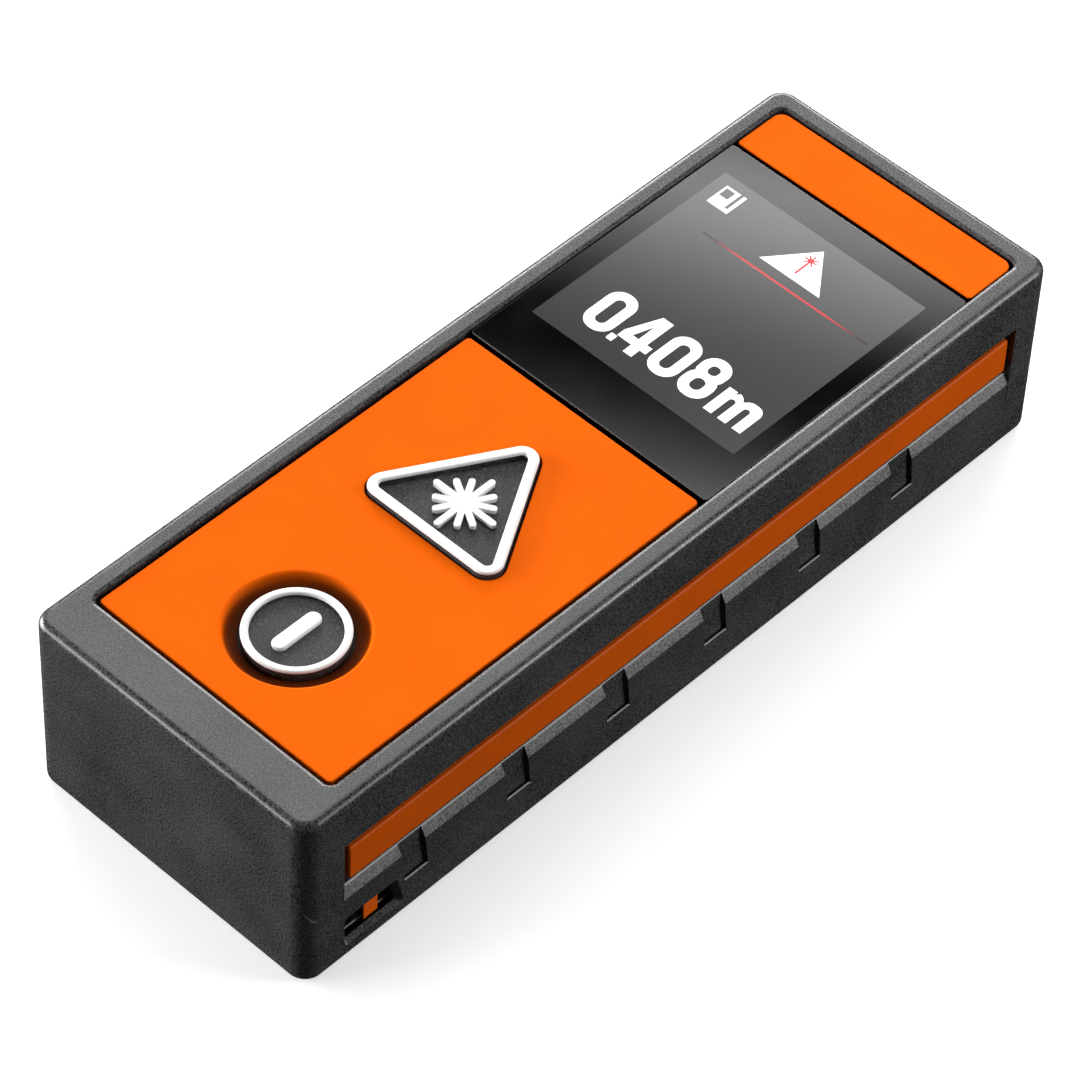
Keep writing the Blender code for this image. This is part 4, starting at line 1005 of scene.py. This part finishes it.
def make_measure_button():
    low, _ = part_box("measure_button")
    flange_low, flange_high = FLANGE_Z
    cap = plate("measure_cap", [round_triangle()], flange_high - 0.2 * MM,
                MEASURE_TOP_Z - 0.22 * MM)
    stem = [(0, flange_low + 0.1 * MM), (STEM_RADIUS, flange_low + 0.1 * MM),
            (STEM_RADIUS, low.z), (0, low.z)]
    boolean(cap, "UNION",
            plate("flange", [round_triangle(FLANGE_REACH)], flange_low, flange_high),
            turned("stem", stem, (*MEASURE_AT, 0), steps=48))
    boolean(cap, "DIFFERENCE",
            plate("recess", [round_triangle(-RIM_WIDTH + 0.02 * MM)], MEASURE_FACE_Z,
                  MEASURE_TOP_Z + 1 * MM))
    round_edges(cap, 0.06 * MM, 2, above=40)
    finish(cap, button_face(), "measure_key", "measure_button", slot="button_skin")

    white = white_moulding()
    rim = [round_triangle(-0.04 * MM), round_triangle(-RIM_WIDTH)]
    make_mark("measure_rim", "measure_key", white, rim, MEASURE_TOP_Z - 0.28 * MM, MEASURE_TOP_Z,
              0.22 * MM, 4)
    star = starburst(MEASURE_AT, STAR_HUB_RADIUS, STAR_RAY_WIDTH, STAR_RAY_LENGTHS)
    make_mark("measure_star", "measure_key", white, [star], MEASURE_FACE_Z + MARK_GAP,
              MEASURE_FACE_Z + 0.50 * MM, 0.13 * MM)


def make_power_button():
    low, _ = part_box("power_button")
    flange_low, flange_high = FLANGE_Z
    shoulder = POWER_TOP_Z - 0.24 * MM
    seat = POWER_RING_INNER + 0.02 * MM
    flange = POWER_RADIUS + FLANGE_REACH
    profile = [(0, POWER_FACE_Z), (seat, POWER_FACE_Z), (seat, shoulder), (POWER_RADIUS, shoulder),
               (POWER_RADIUS, flange_high), (flange, flange_high), (flange, flange_low),
               (STEM_RADIUS, flange_low), (STEM_RADIUS, low.z), (0, low.z)]
    cap = turned("power_cap", rounded_profile(profile, 0.08 * MM, 2), (*POWER_AT, 0))
    finish(cap, button_face(), "power_key", "power_button", slot="button_skin")

    outer, inner = POWER_RADIUS - 0.03 * MM, POWER_RING_INNER
    foot = POWER_TOP_Z - 0.30 * MM
    radius = 0.20 * MM
    level = POWER_TOP_Z - radius
    loop = [*arc((outer - radius, level), radius, 0, pi / 2, 5),
            *arc((inner + radius, level), radius, pi / 2, pi / 2, 5), (inner, foot), (outer, foot)]
    ring = turned("power_ring_moulding", loop[::-1], (*POWER_AT, 0), steps=128, closed=True)
    white = white_moulding()
    finish(ring, white, "power_key", "power_ring", slot="marking", sharp=60)

    low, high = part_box("power_bar")
    bar_top = POWER_FACE_Z + 0.42 * MM
    outline = box_outline(low, high, (high.x - low.x) / 2 - MARK_GAP, 10)
    make_mark("power_bar", "power_key", white, [outline], POWER_FACE_Z + MARK_GAP, bar_top,
              0.16 * MM)


# ---- display

def decal(name, outlines, material, lift=PRINT_LIFT):
    """A thin printed or lit shape just proud of the window."""
    piece = plate(name, outlines, GLASS_HIGH.z - 0.01 * MM, GLASS_HIGH.z + lift)
    piece.data.materials.append(material)
    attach(piece, "root")


def digit_zero(x, width, y, height, stroke):
    outer = round_rectangle((x, x + width), (y, y + height), width * 0.47, 10)
    inner = round_rectangle((x + stroke, x + width - stroke), (y + stroke, y + height - stroke),
                            (width - 2 * stroke) * 0.49, 8)
    return [outer, inner]


def digit_eight(x, width, y, height, stroke):
    """Two bowls, the upper one a little narrower, with a waist between them."""
    waist = y + height * 0.53
    dip = 0.10 * width
    bar = stroke * 0.42
    lower = round_rectangle((x + stroke, x + width - stroke), (y + stroke, waist - bar),
                            (width - 2 * stroke) * 0.45, 8)
    upper = round_rectangle((x + stroke * 1.08, x + width - stroke * 1.08),
                            (waist + bar, y + height - stroke), (width - 2.16 * stroke) * 0.45, 8)
    radius = width * 0.46
    right = x + width
    half = arc((right - radius, y + radius), radius, -pi / 2, pi / 2, 10)
    half += [(right, waist - 0.55 * radius), (right - dip * 0.35, waist - 0.22 * radius),
             (right - dip, waist), (right - dip * 0.45, waist + 0.2 * radius)]
    half += arc((right - 0.03 * width - radius, y + height - radius), radius, 0, pi / 2, 10)
    mirrored = [(2 * x + width - u, v) for u, v in reversed(half)]
    return [half + mirrored, lower, upper]


def digit_four(x, width, y, height, stroke):
    bar_low, bar_high = y + height * 0.20, y + height * 0.20 + stroke * 0.92
    stem = x + width * 0.80
    outer = [(stem - stroke, y), (stem, y), (stem, bar_low), (x + width, bar_low),
             (x + width, bar_high), (stem, bar_high), (stem, y + height),
             (stem - stroke * 1.25, y + height), (x, bar_high), (x, bar_low),
             (stem - stroke, bar_low)]
    inner = [(stem - stroke, bar_high), (stem - stroke, y + height * 0.76),
             (x + width * 0.29, bar_high)]
    return [outer, inner]


def letter_m(x, width, y, height, stroke):
    """A lower-case m as three legs with two arches."""
    pitch = (width - stroke) / 2
    gap = pitch - stroke
    top = y + height
    radius = (pitch + stroke) * 0.36
    outline = [(x, y), (x + stroke, y)]
    for leg in (0, 1):
        left = x + stroke + leg * pitch
        outline.append((left, y))
        outline += arc((left + gap / 2, top - stroke * 0.95 - gap / 2), gap / 2, pi, -pi, 8)
        outline.append((left + gap, y))
        if leg == 0:
            outline.append((left + gap + stroke, y))
    outline.append((x + width, y))
    outline += arc((x + width - radius, top - radius), radius, 0, pi / 2, 8)
    notch = x + stroke + gap + stroke * 0.45
    small = radius * 0.95
    outline += arc((notch + small, top - small), small, pi / 2, pi / 3.2, 4)
    outline += arc((notch - radius, top - radius), radius, pi / 8, 3 * pi / 8, 5)
    outline += [(x + stroke * 1.35, top), (x + stroke * 0.98, top - stroke * 0.35),
                (x + stroke * 0.98, top - 0.02 * MM), (x, top - 0.02 * MM)]
    cleaned = [outline[0]]
    for point in outline[1:]:
        if (Vector(point) - Vector(cleaned[-1])).length > LEVEL_SLACK:
            cleaned.append(point)
    return [cleaned]


def make_display():
    window = plate("display_window_pane", [box_outline(GLASS_LOW, GLASS_HIGH, 0.3 * MM, 5)],
                   GLASS_LOW.z, GLASS_HIGH.z)
    round_edges(window, 0.10 * MM, 3, lies_at(GLASS_HIGH.z), 25)
    finish(window, window_glass(), "root", "display_window", slot="display_glass")
    decal("display_screen", [round_rectangle(SCREEN_X, SCREEN_Y, 0.08 * MM, 2)], screen_glow_painted_reflection(),
          0.004 * MM)

    white = lit_print("screen_white", (0.96, 0.96, 0.96), 0.95)
    base, tall, stroke = mm(12.55, 6.15, 1.12)
    point = round_rectangle(mm(-5.95, -5.2), offsets(base, 0.15, 1.1), 0.12 * MM, 3)
    glyphs = (
        ("reading_0", digit_zero(*mm(-9.75, 3.55), base, tall, stroke)),
        ("reading_point", [point]),
        ("reading_4", digit_four(*mm(-5.35, 3.75), base, tall, stroke)),
        ("reading_0b", digit_zero(*mm(-1.15, 3.55), base, tall, stroke)),
        ("reading_8", digit_eight(*mm(2.85, 3.6), base, tall, stroke)),
        ("reading_m", letter_m(*mm(7.15, 4.85), base, *mm(3.95, 1.08))),
    )
    for name, outlines in glyphs:
        decal(name, outlines, white)

    decal("laser_line", [rectangle(mm(-9.2, 12.7), mm(30.22, 30.46))], laser_line())
    decal("laser_icon", [[mm(-2.9, 31.75), mm(5.1, 31.75), mm(1.1, 36.95)]], white)
    red = lit_print("screen_red", (0.75, 0.02, 0.03), 0.9)
    burst = starburst(mm(1.1, 35.0), 0.34 * MM, 0.17 * MM, mm(0.80), 8, 3)
    decal("laser_icon_ray", [burst], red, PRINT_LIFT * 1.6)
    decal("laser_icon_beam", [rectangle(mm(0.98, 1.22), mm(32.6, 34.5))], red, PRINT_LIFT * 1.3)
    decal("datum_icon", [rectangle(mm(-12.0, -10.1), mm(33.9, 37.0)),
                         rectangle(mm(-11.75, -10.62), mm(35.45, 36.72))], white)
    decal("datum_icon_arm", [rectangle(mm(-9.72, -9.3), mm(33.9, 37.0))], white)
    decal("datum_icon_foot", [rectangle(mm(-10.05, -9.77), mm(33.9, 34.45))], white)


# ---- underside and laser end

def make_rear_cover():
    outline = box_outline(COVER_LOW, COVER_HIGH, 0.7 * MM, 6)
    opening = box_outline(DOOR_LOW, DOOR_HIGH, 0.2 * MM, 3, 0.3 * MM)
    cover = plate("rear_cover_moulding", [outline, opening], COVER_LOW.z, COVER_HIGH.z)
    label = round_rectangle(mm(-12, 12), mm(8, 38), 1.2 * MM, 8)
    tools = [plate("label_recess", [label], -1 * MM, 0.15 * MM)]
    for number in range(1, 5):
        low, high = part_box(f"rear_screw_{number}")
        centre = ((low.x + high.x) / 2, (low.y + high.y) / 2, 0)
        bore = (high.x - low.x) / 2 + 0.25 * MM
        flare = bore + 0.25 * MM
        seat = [mm(0, 3), mm(1.2, 3), mm(1.2, 1.3), (bore, 1.3 * MM), (bore, 0.15 * MM),
                (flare, -0.1 * MM), (flare, -1 * MM), mm(0, -1)]
        tools.append(turned("seat", seat, centre, steps=48))
    boolean(cover, "DIFFERENCE", *tools)
    round_edges(cover, 0.12 * MM, 2, above=30)
    finish(cover, charcoal_cover(), "root", "rear_cover", slot="case")


def make_battery_door():
    """The door, with grooves to grip it by and a round hinge edge."""
    section = arc(DOOR_AXIS, 0.9 * MM, -pi / 2, pi, 16)
    section += [(DOOR_LOW.y, 1.9 * MM), (DOOR_LOW.y, 0.1 * MM)]
    door = plate("battery_door_moulding", [section], DOOR_LOW.x, DOOR_HIGH.x, "X")
    tab = [mm(-2.2, 1.7), mm(2.2, 1.7), mm(2.0, 3.1), mm(-2.0, 3.1)]
    boolean(door, "UNION", plate("tab", [tab], *offsets(DOOR_LOW.y, 0.1, 1.1), "Y"))
    grooves = []
    for row in range(6):
        y = DOOR_LOW.y + 3.6 * MM + row * 1.3 * MM
        reach = 6.2 * MM - abs(row - 2.5) * 0.55 * MM
        outline = round_rectangle((-reach, reach), (y, y + 0.65 * MM), 0.3 * MM, 5)
        grooves.append(plate("groove", [outline], -1 * MM, 0.45 * MM))
    boolean(door, "DIFFERENCE", *grooves)
    round_edges(door, 0.10 * MM, 2, above=30)
    finish(door, charcoal_cover(), "battery_door", "battery_door", slot="case")


def bezel_gloss():
    n = Nodes("bezel_gloss")
    n.colour(n.ramp(n.noise(0.4 * MM), (0.3, 0.004), (0.7, 0.007)))
    n.rough(n.noise(3 * MM, 3.0), 0.10, 0.20)
    n.bump(n.noise(2.5 * MM), 0.01 * MM, 0.12)
    return n.material


def make_front_bezel():
    """Glossy bezel with stepped rings round the receiver lens and the laser port."""
    face = box_outline(BEZEL_LOW, BEZEL_HIGH, 2 * MM, 10, plane="xz")
    bezel = plate("front_bezel_moulding", [face], BEZEL_LOW.y, BEZEL_HIGH.y, "Y")
    front = BEZEL_HIGH.y
    lens_low, lens_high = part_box("receiver_lens")
    eye_z = (lens_low.z + lens_high.z) / 2

    def stepped(name, node, hole, step):
        low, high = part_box(node)
        profile = [(0, front + 1 * MM), (hole + step, front + 1 * MM),
                   (hole + step, front - 0.35 * MM), (hole + 0.1 * MM, front - 0.75 * MM),
                   (hole, front - 0.75 * MM), (hole, front - 3 * MM), (0, front - 3 * MM)]
        return turned(name, profile, ((low.x + high.x) / 2, 0, eye_z), "Y")

    boolean(bezel, "DIFFERENCE", stepped("eye", "receiver_lens", *mm(5.2, 0.7)),
            stepped("port", "laser_barrel", *mm(2.6, 0.6)))
    round_edges(bezel, 0.14 * MM, 3, above=35)
    finish(bezel, bezel_gloss(), "root", "front_bezel", slot="inner_plastic")


# ---- CAD nodes that stay

def paint_kept_nodes():
    steel = metal("plated_steel", (0.60, 0.60, 0.62))
    black = black_moulding()
    board = circuit_board()
    film = flex_film()
    soft = rubber()
    brass = metal("turned_brass", (0.72, 0.50, 0.20), 0.26)
    glass = lens_glass()
    white = white_moulding()
    paints = {
        "rear_housing": housing_two_tone(), "front_housing": black, "optics_block": black,
        "lens_retainer": black_moulding("retainer_black", 0.3), "measure_switch": black,
        "power_switch": black, "processor_chip": black_moulding("chip_epoxy", 0.5),
        "display_driver": black_moulding("driver_epoxy", 0.5), "buzzer": black,
        "lcd_panel": window_glass(), "backlight": white, "display_gasket": soft,
        "keypad_mat": soft, "main_board": board, "receiver_board": board, "lcd_flex": film,
        "sensor_flex": film, "laser_barrel": brass, "laser_diode": brass,
        "receiver_lens": glass, "collimator_lens": glass,
        "laser_window": lens_glass("port_glass", (0.20, 0.05, 0.06)),
        "optical_filter": lens_glass("filter_glass", (0.30, 0.02, 0.02)),
        "battery_left": cell_sleeve(), "battery_right": cell_sleeve(),
    }
    for name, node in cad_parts.items():
        node.data.materials.clear()
        node.data.materials.append(paints.get(name, steel))


# ---- stage

def make_stage():
    """Pale floor, dim room, one broad light card, small soft lights, and the camera."""
    scene = bpy.context.scene
    scene.view_settings.view_transform = "Standard"
    scene.view_settings.look = "None"
    make_floor()
    make_world(scene)
    make_key_card()
    for light in SOFT_LIGHTS:
        add_soft_light(*light)
    make_camera(scene)


def make_floor():
    floor = sheet("floor", FLOOR_HALF_SIZE)
    floor.location.z = -FLOOR_GAP
    n = Nodes("floor_paper")
    n.colour(n.ramp(n.noise(60 * MM, 2.0), (0.3, 0.90), (0.7, 0.92)))
    n.set(Roughness=0.9, Specular_IOR_Level=0.0, Emission_Color=(1, 1, 1, 1),
          Emission_Strength=0.45)
    floor.data.materials.append(n.material)
    floor.visible_glossy = False
    floor.visible_diffuse = False


def make_camera(scene):
    camera = bpy.data.objects.new("camera", bpy.data.cameras.new("camera"))
    scene.collection.objects.link(camera)
    camera.data.sensor_width = SENSOR_WIDTH
    camera.data.lens = LENS
    camera.data.clip_start = 0.01
    camera.location = CAMERA_AT
    right = Vector((cos(CAMERA_AZIMUTH), sin(CAMERA_AZIMUTH), 0))
    up = CAMERA_AWAY.cross(right)
    rolled_right = right * cos(CAMERA_ROLL) + up * sin(CAMERA_ROLL)
    rolled_up = up * cos(CAMERA_ROLL) - right * sin(CAMERA_ROLL)
    turn = Matrix((rolled_right, rolled_up, CAMERA_AWAY)).transposed()
    camera.rotation_euler = turn.to_euler()
    scene.camera = camera


def make_world(scene):
    """Dim room, slightly dimmer on the near side of the object."""
    world = bpy.data.worlds.new("studio")
    world.use_nodes = True
    tree = world.node_tree
    place = tree.nodes.new("ShaderNodeTexCoord")
    split = tree.nodes.new("ShaderNodeSeparateXYZ")
    tree.links.new(place.outputs["Generated"], split.inputs[0])
    side = tree.nodes.new("ShaderNodeMapRange")
    side.interpolation_type = "SMOOTHSTEP"
    for index, value in zip((1, 2, 3, 4), (0.1, -0.7, ROOM_DARK, ROOM_LIGHT)):
        side.inputs[index].default_value = value
    tree.links.new(split.outputs["Y"], side.inputs[0])
    background = tree.nodes["Background"]
    background.inputs["Color"].default_value = (1, 1, 1, 1)
    tree.links.new(side.outputs[0], background.inputs["Strength"])
    scene.world = world


def card_point(card, x, y):
    """Where the viewer sees this point of the window reflect the card, in the card's frame."""
    point = Vector((x, y, GLASS_HIGH.z))
    ray = point - CAMERA_AT
    ray.z = -ray.z
    inverse = card.matrix_world.inverted()
    start, along = inverse @ point, inverse.to_3x3() @ ray
    return start - along * (start.z / along.z)


def make_key_card():
    """A broad emitting card, far left and above, with one soft dark fold."""
    card = sheet("key_card", KEY_HALF_SIZE)
    direction = Vector(KEY_DIRECTION).normalized()
    card.matrix_world = (Matrix.Translation(direction * KEY_DISTANCE) @
                         (-direction).to_track_quat("Z", "Y").to_matrix().to_4x4())
    n = Nodes("key_card")
    n.tree.nodes.remove(n.shader)
    glow = n.add("ShaderNodeEmission")
    n.link(glow.outputs[0], n.tree.nodes["Material Output"].inputs["Surface"])
    start = card_point(card, *FOLD_FROM)
    along = card_point(card, *FOLD_TO) - start
    scale = (Vector(FOLD_TO) - Vector(FOLD_FROM)).length / along.length
    along.normalize()
    toward = card_point(card, GLASS_LOW.x, GLASS_HIGH.y) - start
    sign = 1 if along.x * toward.y - along.y * toward.x > 0 else -1
    across = n.minus(n.times(n.minus(n.axis("Y"), start.y), along.x),
                     n.times(n.minus(n.axis("X"), start.x), along.y))
    low, high = FOLD_LEVELS[0][0], FOLD_LEVELS[-1][0]
    factor = n.span(across, sign * low * MM / scale, sign * high * MM / scale, 0.0, 1.0)
    stops = [((place - low) / (high - low), level / KEY_RADIANCE) for place, level in FOLD_LEVELS]
    n.link(n.times(n.ramp(factor, *stops), KEY_RADIANCE), glow.inputs["Strength"])
    card.data.materials.append(n.material)
    card.visible_camera = False


def add_soft_light(name, aim, direction, distance, size, radiance):
    """A rectangular area light that faces a point of the object from a direction."""
    direction = Vector(direction).normalized()
    light = bpy.data.lights.new(name, "AREA")
    light.shape = "RECTANGLE"
    light.size, light.size_y = size
    light.energy = radiance * size[0] * size[1] * pi
    lamp = bpy.data.objects.new(name, light)
    bpy.context.scene.collection.objects.link(lamp)
    lamp.location = Vector(aim) + direction * distance
    lamp.rotation_euler = direction.to_track_quat("Z", "Y").to_euler()
    lamp.visible_camera = False


make_stage()
paint_kept_nodes()
make_case()
make_lanyard_rib()
make_side_strips()
make_keypad_panel()
make_end_cap()
make_measure_button()
make_power_button()
make_display()
make_rear_cover()
make_battery_door()
make_front_bezel()
